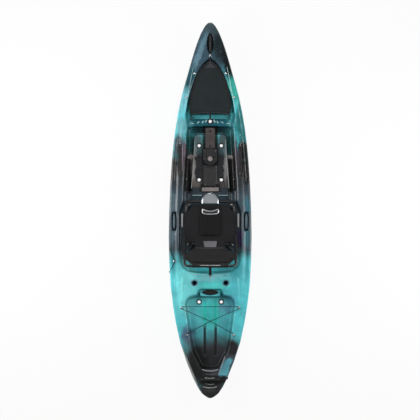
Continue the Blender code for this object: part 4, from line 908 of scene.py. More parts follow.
def soft_corners(corners: Sequence[Vector], radius: float, steps: int = 6) -> list[Vector]:
    """Turns a path's inner corners into arcs of a radius.

    Args:
        corners: The path's points.
        radius: The arcs' radius.
        steps: The arcs' steps.

    Returns:
        The path's points.
    """
    path = [corners[0]]
    for before, corner, after in zip(corners, corners[1:], corners[2:]):
        one, two = (before - corner).normalized(), (after - corner).normalized()
        half = one.angle(two) / 2
        reach = radius / math.tan(half)
        centre = corner + (one + two).normalized() * radius / math.sin(half)
        first, last = corner + one * reach - centre, corner + two * reach - centre
        sweep = first.angle(last)
        for share in (i / steps for i in range(steps + 1)):
            across = math.sin((1 - share) * sweep) * first + math.sin(share * sweep) * last
            path.append(centre + across / math.sin(sweep))
    return [*path, corners[-1]]


def pointed(obj: Obj, place: Path, axis: Path) -> Obj:
    """Moves a piece that points up to a place, pointing along an axis.

    Args:
        obj: The piece.
        place: Where it goes.
        axis: What its top points along.

    Returns:
        The same piece.
    """
    obj.rotation_euler = Vector(axis).to_track_quat("Z", "Y").to_euler()
    obj.location = place
    return placed(obj)


def lathe(profile: Plan, centre: Path, axis: Path = UP, steps: int = 32, bevel: float = 0.0) -> Obj:
    """A round piece, screwed round its axis from a profile.

    Args:
        profile: Distances out from the axis and along it.
        centre: Where the profile's start sits.
        axis: The axis's direction.
        steps: Its sides.
        bevel: The width of its rims' bevel.

    Returns:
        The piece.
    """
    mesh = bpy.data.meshes.new("lathe")
    chain = [(i, i + 1) for i in range(len(profile) - 1)]
    mesh.from_pydata([(out, 0.0, along) for out, along in profile], chain, [])
    made = new_object("lathe", mesh)
    modified(made, "SCREW", steps=steps, render_steps=steps, use_merge_vertices=True, merge_threshold=1e-5)
    editing(pointed(made, centre, axis), tidy_faces)
    return bevelled(made, bevel, 2, 40) if bevel else made


def copies(source: Obj, places: Iterable[tuple[Path, Path]]) -> Obj:
    """Copies a piece that points up from the origin, and removes it.

    Args:
        source: The piece.
        places: Each copy's place and the direction that it points in.

    Returns:
        All the copies as one object, with its own mesh.
    """
    made = [pointed(new_object(source.name, source.data.copy()), place, axis) for place, axis in places]
    bpy.data.objects.remove(source)
    return joined(made)


def pan_head(radius: float) -> Obj:
    """The head of a pan-head screw with its cross recess, standing on the origin.

    Args:
        radius: The head's radius.

    Returns:
        The head.
    """
    shape = [(0.0, 0.62), (0.55, 0.55), (0.88, 0.34), (1.0, 0.05), (1.0, -0.05), (0.6, -0.3), (0.0, -0.3)]
    head = lathe([(out * radius, up * radius) for out, up in shape], (0, 0, 0), steps=20)
    long, thin, foot = 0.55 * radius, 0.11 * radius, 0.25 * radius
    cross = joined([block((-a, -b, foot), (a, b, radius)) for a, b in ((long, thin), (thin, long))])
    return smooth(cut_out(head, cross, use_self=True), 40)


def screws(name: str, radius: float, places: Path, finish: Finish = Finish.STEEL) -> Obj:
    """Pan-head screws that point up at some places of the hull."""
    heads = copies(pan_head(radius), [(place, UP) for place in places])
    return finished(heads, name, finish, slot="stainless")


def mesh_of(points: Path, faces: Sequence[Sequence[int]]) -> Obj:
    """An object from points and faces, its doubles merged and its faces pointing outwards."""
    mesh = bpy.data.meshes.new("mesh")
    mesh.from_pydata([tuple(p) for p in points], [], faces)
    return editing(new_object("mesh", mesh), tidy_faces)


def grid_of(rows: Sequence[Path]) -> Obj:
    """A sheet of squares through rows of points.

    Args:
        rows: Rows of equal counts.

    Returns:
        The sheet, with no thickness.
    """
    wide = len(rows[0])
    corners = [row * wide + i for row in range(len(rows) - 1) for i in range(wide - 1)]
    return mesh_of([p for row in rows for p in row], [(a, a + 1, a + wide + 1, a + wide) for a in corners])


def ribbon(path: Sequence[Vector], width: float, thick: float, bevel: float = 0.0, segments: int = 2) -> Obj:
    """A strip of webbing along a path, level across.

    Args:
        path: The points that it follows.
        width: Its width.
        thick: Its thickness.
        bevel: The width of its edges' bevel.
        segments: The bevel's steps.

    Returns:
        The strip.
    """
    half = Vector((width / 2, 0, 0))
    made = thickened(grid_of([(p - half, p + half) for p in path]), thick)
    return smooth(bevelled(made, bevel, segments) if bevel else made, 50)


def bungee(path: Sequence[Vector], name: str, node: str, body: str = "hull", diameter: float = 0.006) -> None:
    """An elastic cord stretched along a path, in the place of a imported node.

    Args:
        path: The points that it follows.
        name: Its name.
        node: The node that it stands for.
        body: The body that it rides on.
        diameter: Its diameter.
    """
    cord = finished(line(path, diameter / 2), name, Finish.ELASTIC, node, body=body)


class Room:
    """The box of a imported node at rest: its corners, its middle and its size."""

    def __init__(self, node: str) -> None:
        """Asks for the node's box."""
        self.low, self.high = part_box(node)
        self.x, self.y, self.z = ((a + b) / 2 for a, b in zip(self.low, self.high))
        self.wide, self.long, self.tall = (b - a for a, b in zip(self.low, self.high))
        self.foot, self.top = self.low[2], self.high[2]

    def outline(self, radius: float, less: float = 0.0, steps: int = 5) -> list[Pair]:
        """The plan with round corners, made smaller by some width all over."""
        return rounded_box(self.x, self.y, self.wide - less, self.long - less, radius, steps)


def middle_of(node: str) -> Vector:
    """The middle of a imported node's box at rest."""
    room = Room(node)
    return Vector((room.x, room.y, room.z))


# The boat


@dataclass
class Hull:
    """The rotomoulded shell: its outside, with the ridges, steps and dents that the mould gives it."""

    voxel: float = 0.0058
    coarse_voxel: float = 0.010
    most_triangles: int = 190_000
    port: Pair = (0.0, -0.800)
    port_size: Pair = (0.145, 0.036)
    drain: Point = (0.16159, -1.63236, 0.27882)
    drain_out: Point = (0.8704, -0.40985, -0.2728)
    drain_radius: float = 0.013
    rim_ridge: Plan = (
        (0.100, 1.545), (0.146, 1.484), (0.190, 1.270), (0.226, 1.080), (0.246, 0.960), (0.284, 0.740)
    )
    plateau_edge: Plan = ((0.146, 0.700), (0.152, 0.560), (0.164, 0.420), (0.176, 0.280), (0.181, 0.205))
    step_edge: Plan = ((-0.185, 0.146), (0.0, 0.146), (0.185, 0.146))
    rail_edge: Plan = ((0.345, 0.27), (0.345, 0.24), (0.345, 0.20), (0.345, 0.17))
    tank_edge: Plan = ((0.262, -0.66), (0.272, -0.80), (0.270, -0.90))
    ledge: Plan = (
        (-0.185, 0.935), (0.0, 0.945), (0.185, 0.935), (0.185, 0.905), (0.0, 0.915), (-0.185, 0.905)
    )
    slot: Pair = (0.14, -0.632)
    stern_steps: tuple[float, ...] = (-1.562, -1.722)
    scuppers: Plan = ((0.0, 0.866), (0.108, 0.630), (0.108, 0.297), (0.108, -0.892))
    scupper_radius: float = 0.0162
    deck: BVHTree | None = field(default=None, repr=False)

    def build(self) -> None:
        """Makes the shell: cut, ridged and remeshed, and no finer than its most triangles."""
        shell = self.outside()
        self.deck = self.tree_of(shell)
        self.cut(shell)
        self.raise_ridges(shell)
        modified(shell, "REMESH", mode="VOXEL", voxel_size=self.voxel)
        modified(shell, "SMOOTH", factor=0.5, iterations=8)
        triangles = sum(len(face.vertices) - 2 for face in shell.data.polygons)
        if triangles > self.most_triangles:
            modified(shell, "DECIMATE", ratio=self.most_triangles / triangles)
        alone(shell)
        bpy.ops.object.shade_smooth()
        self.deck = self.tree_of(shell)
        finished(shell, "hull_shell", Finish.HULL, "hull")

    def outside(self) -> Obj:
        """The hull's outer skin alone, its two holes to the hollow inside closed."""
        shell = node_copy("hull")
        drain, out = Vector(self.drain), Vector(self.drain_out).normalized()

        def in_port(p: Vector) -> bool:
            """Whether a corner is on the wall of the port's hole."""
            x, y = (2 * (p[i] - self.port[i]) / self.port_size[i] for i in (0, 1))
            return 0.94 < math.hypot(x, y) < 1.03 and 0.245 < p.z < 0.257

        def in_drain(p: Vector) -> bool:
            """Whether a corner is on the wall of the drain's hole."""
            away = p - drain
            return abs((away - away.dot(out) * out).length - self.drain_radius) < 0.0006 and away.length < 0.03

        def open_skins() -> None:
            """Deletes the holes' walls, then all but the outer skin, and closes it."""
            shape = bmesh.from_edit_mesh(shell.data)
            painted_wall_shade = [f for f in shape.faces if all(in_port(v.co) or in_drain(v.co) for v in f.verts)]
            bmesh.ops.delete(shape, geom=painted_wall_shade, context="FACES")
            bmesh.update_edit_mesh(shell.data)
            bpy.ops.mesh.select_mode(type="FACE")
            bpy.ops.mesh.select_all(action="DESELECT")
            shape = bmesh.from_edit_mesh(shell.data)
            min(shape.faces, key=lambda f: f.calc_center_median().z).select_set(True)
            bmesh.update_edit_mesh(shell.data)
            bpy.ops.mesh.select_linked()
            bpy.ops.mesh.select_all(action="INVERT")
            bpy.ops.mesh.delete(type="FACE")
            bpy.ops.mesh.select_all(action="SELECT")
            bpy.ops.mesh.fill_holes(sides=0)
            bpy.ops.mesh.normals_make_consistent(inside=False)

        return editing(shell, open_skins)

    def tree_of(self, obj: Obj) -> BVHTree:
        """A tree of the object's faces, to ask heights of."""
        return BVHTree.FromObject(obj, bpy.context.evaluated_depsgraph_get())

    def top(self, x: float, y: float) -> float:
        """The height of the skin under a place, seen from above."""
        hit = self.deck.ray_cast(Vector((x, y, 1.0)), Vector((0, 0, -1)))
        return hit[0].z if hit[0] else 0.0

    def cut(self, shell: Obj) -> None:
        """Cuts the dents: the port's hole, notches beside the plateau, slots behind the seat, the stern's steps."""
        floor = self.top(*self.port)
        drain, out = Vector(self.drain), Vector(self.drain_out).normalized()
        cutters = [plate(oval(*self.port, *self.port_size), floor - 0.03, floor + 0.01)]
        cutters.append(rod(drain - out * 0.022, drain + out * 0.03, self.drain_radius))
        for s in (-1, 1):
            x, y = s * self.slot[0], self.slot[1]
            deck = self.top(x, y)
            cutters.append(plate(rounded_box(x, y, 0.046, 0.013, 0.006), deck - 0.012, deck + 0.02))
            cutters += bars([(s * 0.172, 0.496), (s * 0.172, 0.448)], (0.016, 0.005), 0.140, 0.17)
        for x, y in self.scuppers:
            for place in {(x, y), (-x, y)}:
                cutters.append(rod((*place, -0.05), (*place, 0.20), self.scupper_radius, 32))
        for index, y in enumerate(self.stern_steps):
            deck, wide = self.top(0, y), 0.075 - 0.02 * index
            dish = arc((0, y + 0.12), 0.16, -90 - 28, -90 + 28, 10)
            dish += [(wide, y + 0.035), (-wide, y + 0.035)]
            cutters.append(plate(dish, deck - 0.010, deck + 0.05))
        cut_out(shell, joined(cutters), use_self=True)

    def raise_ridges(self, shell: Obj) -> None:
        """Lays ridges on the skin, which the remeshing melts into it."""
        beads = (
            (self.rim_ridge, 0.010, 0.003), (self.rail_edge, 0.008, 0.002), (self.plateau_edge, 0.006, 0.0025)
        )
        ridges = []
        for s in (-1, 1):
            for plan, radius, sink in (*beads, (self.tank_edge, 0.009, 0.002)):
                ridges.append(self.ridge(flowing([(s * x, y, 0) for x, y in plan]), radius, sink))
            for x in (s * 0.095, s * 0.178):
                where = (x, 0.166, self.top(x, 0.166))
                bpy.ops.mesh.primitive_uv_sphere_add(segments=16, ring_count=8, radius=0.008, location=where)
                ridges.append(placed(bpy.context.object))
        ridges.append(self.ridge(flowing(raised(self.step_edge)), 0.008, 0.003))
        for x in (0.045 * i for i in range(-4, 5) if i):
            ridges.append(self.ridge(raised([(x, 0.872), (x * 1.15, 0.842)]), 0.008, 0.004))
        joined([shell, *ridges, plate(self.ledge, 0.19, 0.232, 0.004)])

    def ridge(self, path: Sequence[Vector], radius: float, sink: float) -> Obj:
        """A round ridge half sunk in the skin along a plan path."""
        return bead([(p.x, p.y, self.top(p.x, p.y) - sink) for p in path], radius)


@dataclass(frozen=True)
class HighlightBead:
    """A moulded bead of the skin whose top is painted pale as a highlight: a plan path, its radius, and whether it is
    mirrored.
    """

    path: Plan
    radius: float = 0.0040
    mirrored: bool = False


@dataclass(frozen=True)
class HighlightBeads:
    """The beads of the deck, the floors and the stern, their tops painted pale or grey as highlights."""

    deck: tuple[HighlightBead, ...] = (
        # Round the bow's scupper
        HighlightBead(((0.034, 0.882), (0.048, 0.858)), 0.0075, True),
        HighlightBead(((0.066, 0.872), (0.078, 0.850)), 0.0060, True),
        HighlightBead(((0.105, 0.866), (0.128, 0.850)), 0.0050, True),
        HighlightBead(((0.160, 0.846), (0.205, 0.842)), 0.0055, True),
        # The fold of the bow's deck
        HighlightBead(((0.146, 1.484), (0.190, 1.270), (0.226, 1.080), (0.240, 0.997)), 0.0026),
        HighlightBead(((-0.146, 1.484), (-0.190, 1.270), (-0.226, 1.080)), 0.0018),
        # The step ahead of the seat
        HighlightBead(((0.080, 0.146), (0.175, 0.146)), 0.0045, True),
        # The cockpit's rear rim
        HighlightBead(((-0.215, -0.618), (-0.120, -0.626), (-0.030, -0.628)), 0.0050),
        HighlightBead(((0.040, -0.628), (0.120, -0.626), (0.190, -0.620)), 0.0042),
    )
    stern: tuple[HighlightBead, ...] = (
        # The edges of the plateau, with grey painted highlights like the stern's
        HighlightBead(
            ((0.150, 0.690), (0.156, 0.560), (0.168, 0.420), (0.179, 0.280), (0.184, 0.215)), 0.0042, True
        ),
        # The stern's steps
        HighlightBead(
            ((-0.080, -1.553), (-0.040, -1.563), (0.0, -1.566), (0.040, -1.563), (0.074, -1.553)), 0.0052
        ),
        HighlightBead(((-0.054, -1.632), (0.0, -1.637), (0.042, -1.633))),
        HighlightBead(((-0.050, -1.690), (0.0, -1.696), (0.040, -1.692)), 0.0030),
        HighlightBead(
            ((-0.072, -1.718), (-0.036, -1.727), (0.0, -1.730), (0.032, -1.727), (0.064, -1.719)), 0.0055
        ),
        HighlightBead(((0.144, -1.425), (0.112, -1.515), (0.083, -1.600))),
    )

    def build(self, hull: Hull) -> None:
        """Lays the beads on the hull's skin, their heights evened out."""
        # The pale beads and the grey ones, both painted highlights
        groups = (self.deck, "worn_ridges", Finish.WORN), (self.stern, "worn_stern_ridges", Finish.WORN_DARK)
        for ridges, name, finish in groups:
            beads = []
            for ridge, s in ((r, s) for r in ridges for s in ((1, -1) if r.mirrored else (1,))):
                plan = flowing([(s * x, y, 0) for x, y in ridge.path], 5)
                tops = [hull.top(p.x, p.y) for p in plan]
                near = [tops[max(i - 3, 0) : i + 4] for i in range(len(tops))]
                points = [(p.x, p.y, sum(t) / len(t) - ridge.radius * 0.45) for p, t in zip(plan, near)]
                beads.append(bead(points, ridge.radius))
            finished(beads, name, finish, angle=60)


@dataclass
class Studs:
    """The round hooks that hold the bungees, the cover and the seat's strap: a flange, a neck and a domed head."""

    labels: tuple[str, ...] = ("front_left", "front_right", "rear_left", "rear_right")
    flange: float = 0.0108
    neck: float = 0.0044
    head: float = 0.0088

    def build(self) -> None:
        """Turns each hook and sets the screw's socket in its head."""
        groups = [f"{group}_stud_{label}" for group in ("cover", "tank") for label in self.labels]
        for node in ("cover_stud_tip", *groups, "strap_eye", "paddle_hook"):
            room = Room(node)
            top, rise = room.top, room.tall
            flange = [
                (0.0, 0.0), (self.flange, 0.0), (self.flange, 0.0012), (0.0080, 0.0030), (self.neck, 0.0036)
            ]
            head = [(self.neck, rise - 0.0068), (0.0070, rise - 0.0060), (self.head, rise - 0.0046)]
            dome = [
                (self.head, rise - 0.0036), (0.0074, rise - 0.0016), (0.0046, rise - 0.0004), (0.0, rise - 0.0002)
            ]
            hook = lathe([*flange, *head, *dome], (room.x, room.y, room.foot), steps=36)
            cut_out(hook, rod((room.x, room.y, top - 0.0022), (room.x, room.y, top + 0.002), 0.0024, 6))
            finished(hook, node + "_hook", Finish.STEEL, node, angle=42)


@dataclass
class CarryHandles:
    """The four carry handles: a ribbed soft grip over a strap, its ends clamped under screwed caps."""

    rib_pitch: float = 0.0085
    rib_height: float = 0.0005
    arch: float = 4.5
    steps: int = 96

    def build(self) -> None:
        """Makes the handles."""
        for node in ("bow_handle", "side_handle_left", "side_handle_right"):
            self.handle(node, Vector((0, 1, 0)), (0.026, 0.030))
        self.handle("stern_handle", Vector((1, 0, 0)), (0.030, 0.026))

    def handle(self, node: str, along: Vector, cap: Pair) -> None:
        """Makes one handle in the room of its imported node.

        Args:
            node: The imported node.
            along: The direction of its grip.
            cap: The size of its end caps in plan.
        """
        room, centre = Room(node), middle_of(node)
        thick = min(room.wide, room.long) / 2
        reach = max(room.wide, room.long) / 2 - thick
        foot, top = room.foot + 0.002, room.top - thick
        path, radii = [], []
        for i in range(self.steps + 1):
            turn = math.pi * (i / self.steps - 0.5)
            share = math.copysign(abs(math.sin(turn)) ** (2 / self.arch), turn)
            rise = abs(math.cos(turn)) ** (2 / self.arch)
            path.append((*(centre.xy + along.xy * share * reach), foot + (top - foot) * rise))
            if abs(share) < 0.80 and rise > 0.9:
                rib = self.rib_height * math.cos(2 * math.pi * share * reach / self.rib_pitch)
                radii.append(thick * 0.93 + rib)
            else:
                radii.append(thick * 0.65)
        finish = Finish.SLEEVE if "side" in node else Finish.RUBBER
        finished(swept(path, radii, steps=6), node + "_grip", finish, node, angle=60, slot=None)
        ends = [centre + along * end * (reach - 0.002) for end in (-1, 1)]
        caps = [plate(rounded_box(p.x, p.y, *cap, 0.010), foot - 0.0005, foot + 0.0065, 0.002) for p in ends]
        finished(caps, node + "_caps", Finish.NYLON, angle=35)
        ends = [centre + along * end * (reach - 0.0165) for end in (-1, 1)]
        ears = [
            plate(rounded_box(p.x, p.y, 0.013, 0.013, 0.006), foot - 0.0005, foot + 0.0060, 0.0012) for p in ends
        ]
        finished(ears, node + "_ears", Finish.NYLON, angle=35)
        screws(node + "_screws", 0.0042, [(p.x, p.y, foot + 0.0060) for p in ends])


@dataclass
class GearTracks:
    """The two slotted rails for accessories: extruded, with lips, end stops and countersunk screws."""

    screw_pitch: float = 0.066

    def build(self) -> None:
        """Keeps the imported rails, which have the right slot, and adds what is fixed to them."""
        for side in Side:
            node = f"gear_track_{side.tag()}"
            room = Room(node)
            x, y, top, half = room.x, room.y, room.top, room.long / 2
            ribs = []
            for s in (-1, 1):
                ribs += bars([(x + s * 0.0050, y)], (0.0005, half - 0.002), top - 0.001, top + 0.0009, 0.0003)
                ribs += bars(
                    [(x + s * 0.0142, y)], (0.0006, half - 0.0004), top - 0.001, top + 0.0012, 0.0004
                )
            finished(ribs, node + "_lips", Finish.RAIL)
            ends = [y - half + 0.010, y + half - 0.010]
            stops = [
                plate(rounded_box(x, at, 0.0265, 0.017, 0.004), top - 0.0005, top + 0.0035, 0.0012) for at in ends
            ]
            finished(stops, node + "_stops", Finish.NYLON, angle=35)
            places = [(x, at, top + 0.0034) for at in ends]
            places += [(x, y + d, top - 0.0078) for d in spaced(3, self.screw_pitch)]
            screws(node + "_screws", 0.0036, places)


@dataclass
class RodHolders:
    """The flush rod holders behind the seat: a moulded flange with a rolled rim and a slate liner in the tube."""

    place: Pair = (0.154, -0.709)
    tilt: float = math.radians(10)
    splay: float = 0.4
    bore: float = 0.0258
    rim: float = 0.0330
    wall: float = 0.0018
    depth: float = 0.110

    def build(self, hull: Hull) -> None:
        """Makes the liners in the hull's tubes."""
        inner, y = self.bore - self.wall, self.place[1]
        lip = [
            (self.bore + 0.0005, 0.0016), (self.rim - 0.003, 0.0036), (self.rim, 0.0022), (self.rim, 0.0002)
        ]
        outside = [
            (self.rim - 0.004, -0.0004), (self.bore, -0.006), (self.bore, -self.depth), (inner, -self.depth)
        ]
        for side in Side:
            s, lean = side.value, math.sin(self.tilt)
            axis = Vector((s * self.splay * lean, -lean, math.cos(self.tilt))).normalized()
            mouth = (s * self.place[0], y, hull.top(s * (self.place[0] + 0.038), y))
            liner = lathe([(inner, -self.depth), (inner, -0.006), *lip, *outside], mouth, axis, 48)
            finished(liner, f"rod_holder_liner_{side.tag()}", Finish.LINER, angle=50)


@dataclass
class BowCover:
    """The mesh cover of the bow well: a taut arched cloth with a bound hem, a solid front panel and corner bungees."""

    rear: float = 0.934
    length: float = 0.546
    half_width: float = 0.240
    seat: float = -0.004
    rear_curve: float = 0.012
    side: Plan = (
        *(
            (0.0, 0.74), (0.012, 0.80), (0.033, 0.84), (0.128, 0.86), (0.229, 0.845), (0.40, 0.79), (0.50, 0.715)
        ),
        *(
            (0.615, 0.635), (0.727, 0.533), (0.817, 0.405), (0.883, 0.285), (0.930, 0.16), (0.955, 0.06), (0.962, 0.0)
        ),
    )
    columns: int = 40
    crown: float = 0.008
    hem: float = 0.024
    panel_rear: float = 1.385
    cord: float = 0.006
    edge: list[Vector] = field(default_factory=list, repr=False)
    heights: list[float] = field(default_factory=list, repr=False)

    def build(self, hull: Hull) -> None:
        """Makes the cloth, its hem, panel, tab and bungees over the hull's bow well."""
        edge = flowing(
            [(out * self.half_width, self.rear + share * self.length, 0) for share, out in self.side], 5
        )
        self.edge = [Vector((max(p.x, 0.0) + (self.seat if p.x > 0.002 else 0), p.y, 0)) for p in edge]
        rim = [max(hull.top(p.x + out, p.y) for out in (0.014, 0.028, 0.042)) - 0.0015 for p in self.edge]
        self.heights = [min(h, hull.top(0.0, self.rear + self.length + 0.022)) for h in rim]
        across = [2 * i / self.columns - 1 for i in range(self.columns + 1)]
        cloth = grid_of([[self.place(row, out) for out in across] for row in range(len(self.edge))])
        thickened(cloth, 0.0016)
        finished(cloth, "bow_cover_cloth", Finish.COVER, "bow_cover", body="bow_cover", angle=60)
        hem = finished(self.border(), "bow_cover_hem", Finish.WEBBING, body="bow_cover", angle=50)
        panel = finished(self.front_panel(), "bow_cover_panel", Finish.PANEL, body="bow_cover", angle=50)
        stud, end = middle_of("cover_stud_tip"), (self.edge[-1].y - 0.012, self.heights[-1] + 0.003)
        tip = self.strip(0.0, [end, (stud.y - 0.006, stud.z)], 0.010)
        tab = finished([self.tab(), tip], "bow_cover_tab", Finish.WEBBING, "cover_pull_tab", body="bow_cover")
        self.bungees()

    def place(self, row: int, out: float, lift: float = 0.0) -> Vector:
        """A point of the cloth.

        Args:
            row: Which point of the right edge it is level with.
            out: Where across the cloth, from -1 at the left edge to 1 at the right one.
            lift: How far above the cloth.

        Returns:
            The point.
        """
        wide, y, _ = self.edge[row]
        near = max(0.0, 1 - (y - self.rear) / 0.12)
        pulled = self.rear_curve * (1 - out * out) * near**2
        rise = self.crown * min(1.0, wide / self.half_width) * (1 - out * out)
        # Folds fan out from the rear corners, where the bungees pull
        corner = math.exp(-((abs(out) - 0.85) ** 2) / 0.02) * near
        fold = 0.0016 * corner * math.sin(46 * abs(out) + 30 * (y - self.rear))
        return Vector((wide * out, y + pulled, self.heights[row] + rise + fold + lift))

    def border(self) -> Obj:
        """The bound hem all round, with its two rows of stitches as raised lines."""
        rows = len(self.edge)
        loop = [(0, out / 20) for out in range(-20, 20)] + [(row, 1.0) for row in range(rows - 1)]
        ring = [
            self.place(row, out) for row, out in (*loop, *((row, -1.0) for row in range(rows - 1, 0, -1)))
        ]
        inner, stitches = [], ([], [])
        for before, here, after in zip([ring[-1], *ring], ring, [*ring[1:], ring[0]]):
            along = (after - before).xy.normalized()
            inwards = Vector((-along.y * self.hem, along.x * self.hem, 0.0014))
            inner.append(here + inwards)
            for share, found in zip((0.25, 0.8), stitches):
                found.append(here + inwards * share + Vector((0, 0, 0.0020)))
        band = bevelled(thickened(grid_of([[*ring, ring[0]], [*inner, inner[0]]]), 0.0036), 0.0011)
        return joined([band, *(bead(found, 0.0005, True, 1) for found in stitches)])

    def front_panel(self) -> Obj:
        """The solid panel over the front of the mesh, left plain."""
        rows = []
        for row in (i for i, p in enumerate(self.edge[:-1]) if p.y >= self.panel_rear):
            reach = max(0.05, 1 - 0.9 * self.hem / max(self.edge[row].x, self.hem))
            rows.append([self.place(row, reach * (i / 10 - 1), 0.0016) for i in range(21)])
        return thickened(grid_of(rows), 0.0012, 1.0)

    def tab(self) -> Obj:
        """The folded webbing tab at the rear edge."""
        room = Room("cover_pull_tab")
        rear, front, z = room.low[1], room.high[1], room.z
        path = [
            (rear, z - 0.001), (rear + 0.015, z + 0.002), (front - 0.010, z + 0.001), (front + 0.016, z + 0.004)
        ]
        return self.strip(room.x, path, 0.016)

    def strip(self, x: float, path: Plan, width: float) -> Obj:
        """A strip of webbing through places along the boat and their heights."""
        return ribbon(flowing([(x, y, height) for y, height in path], 5), width, 0.0028, 0.0008)

    def bungees(self) -> None:
        """The two loops of bungee at the rear corners."""
        edge = self.rear - self.seat
        front = [(0.58, edge + 0.0028), (0.58, edge - 0.012)]
        plan = [*front, (0.93, self.rear - 0.075), (0.72, edge - 0.012), (0.72, edge)]
        for side in Side:
            node = f"cover_cord_{side.tag()}"
            corners = raised([(side.value * share * self.half_width, y) for share, y in plan], Room(node).z)
            bungee(soft_corners(corners, 0.006), node + "_bungee", node, "bow_cover", self.cord)


@dataclass
class DeckBungees:
    """The tank well's crossed bungee and the paddle keeper, each one cord stretched round its hooks."""

    diameter: float = 0.006
    post: float = 0.0045
    seat: float = 0.0072
    front: Pair = (0.282, -0.947)
    rear: Pair = (0.231, -1.215)
    cross: float = -1.081
    hook: Pair = (0.350, -0.495)
    keeper_x: float = 0.392
    keeper_front: float = 0.119
    keeper_rear: float = 0.105

    def build(self, hull: Hull) -> None:
        """Makes both cords and the eyelets of the keeper's ends."""
        self.tank()
        self.keeper(hull)

    def round_post(self, place: Pair, z: float, start: float, end: float, steps: int = 9) -> list[Vector]:
        """Points round a hook's neck, at angles in degrees in the plan."""
        reach = (self.post + self.diameter / 2 + 0.0007) / math.cos(
            math.radians(abs(end - start) / steps / 2)
        )
        return raised(arc(place, reach, start, end, steps), z)

    def tank(self) -> None:
        """The tank well's cord: from one rear hook across to the front ones and back across."""
        (x0, y0), (x1, y1) = self.front, self.rear
        high, low = (Room(f"tank_stud_{end}_left").foot + self.seat for end in ("front", "rear"))
        middle, lift = (high + low) / 2, 0.7 * self.diameter
        path = self.round_post((-x1, y1), low, -60, -240)
        path.append(Vector((0, self.cross, middle + lift)))
        path += self.round_post((x0, y0), high, -60, 90)
        path += self.round_post((-x0, y0), high, 90, 240)
        path.append(Vector((0, self.cross, middle - lift)))
        path += self.round_post((x1, y1), low, 60, -120)
        bungee(path, "tank_cord", "tank_bungee", diameter=self.diameter)

    def keeper(self, hull: Hull) -> None:
        """The paddle keeper's cord, its ends going into eyelets in the hull's side."""
        (x, y), edge = self.hook, self.keeper_x
        lift = self.diameter / 2 + 0.0010

        def over(end: float, share: float) -> Vector:
            """A point of the cord over the deck, some share of the way from an end to the hook."""
            px, py = -edge + (edge - x) * share, end + (y - end) * share
            return Vector((px, py, hull.top(px, py) + lift + 0.0025 * share))

        front, rear = y + self.keeper_front, y - self.keeper_rear
        around = self.round_post((-x, y), Room("paddle_hook").foot + self.seat, 22, -22, 3)
        path = [over(front, 0.0), over(front, 0.4), *around, over(rear, 0.4), over(rear, 0.0)]
        bungee(path, "paddle_cord", "paddle_bungee", diameter=self.diameter)
        inside, crown = (0.0042, 0.004), [(0.0060, 0.0050), (0.0080, 0.0035)]
        ring = [inside, *crown, (0.0088, 0.0), (0.0088, -0.004), (0.0042, -0.004), inside]
        places = [(-edge, end, hull.top(-edge, end) - 0.001) for end in (front, rear)]
        eyelets = [lathe(ring, place, (-0.35, 0, 1), 28) for place in places]
        finished(eyelets, "paddle_cord_eyelets", Finish.NYLON, angle=50)


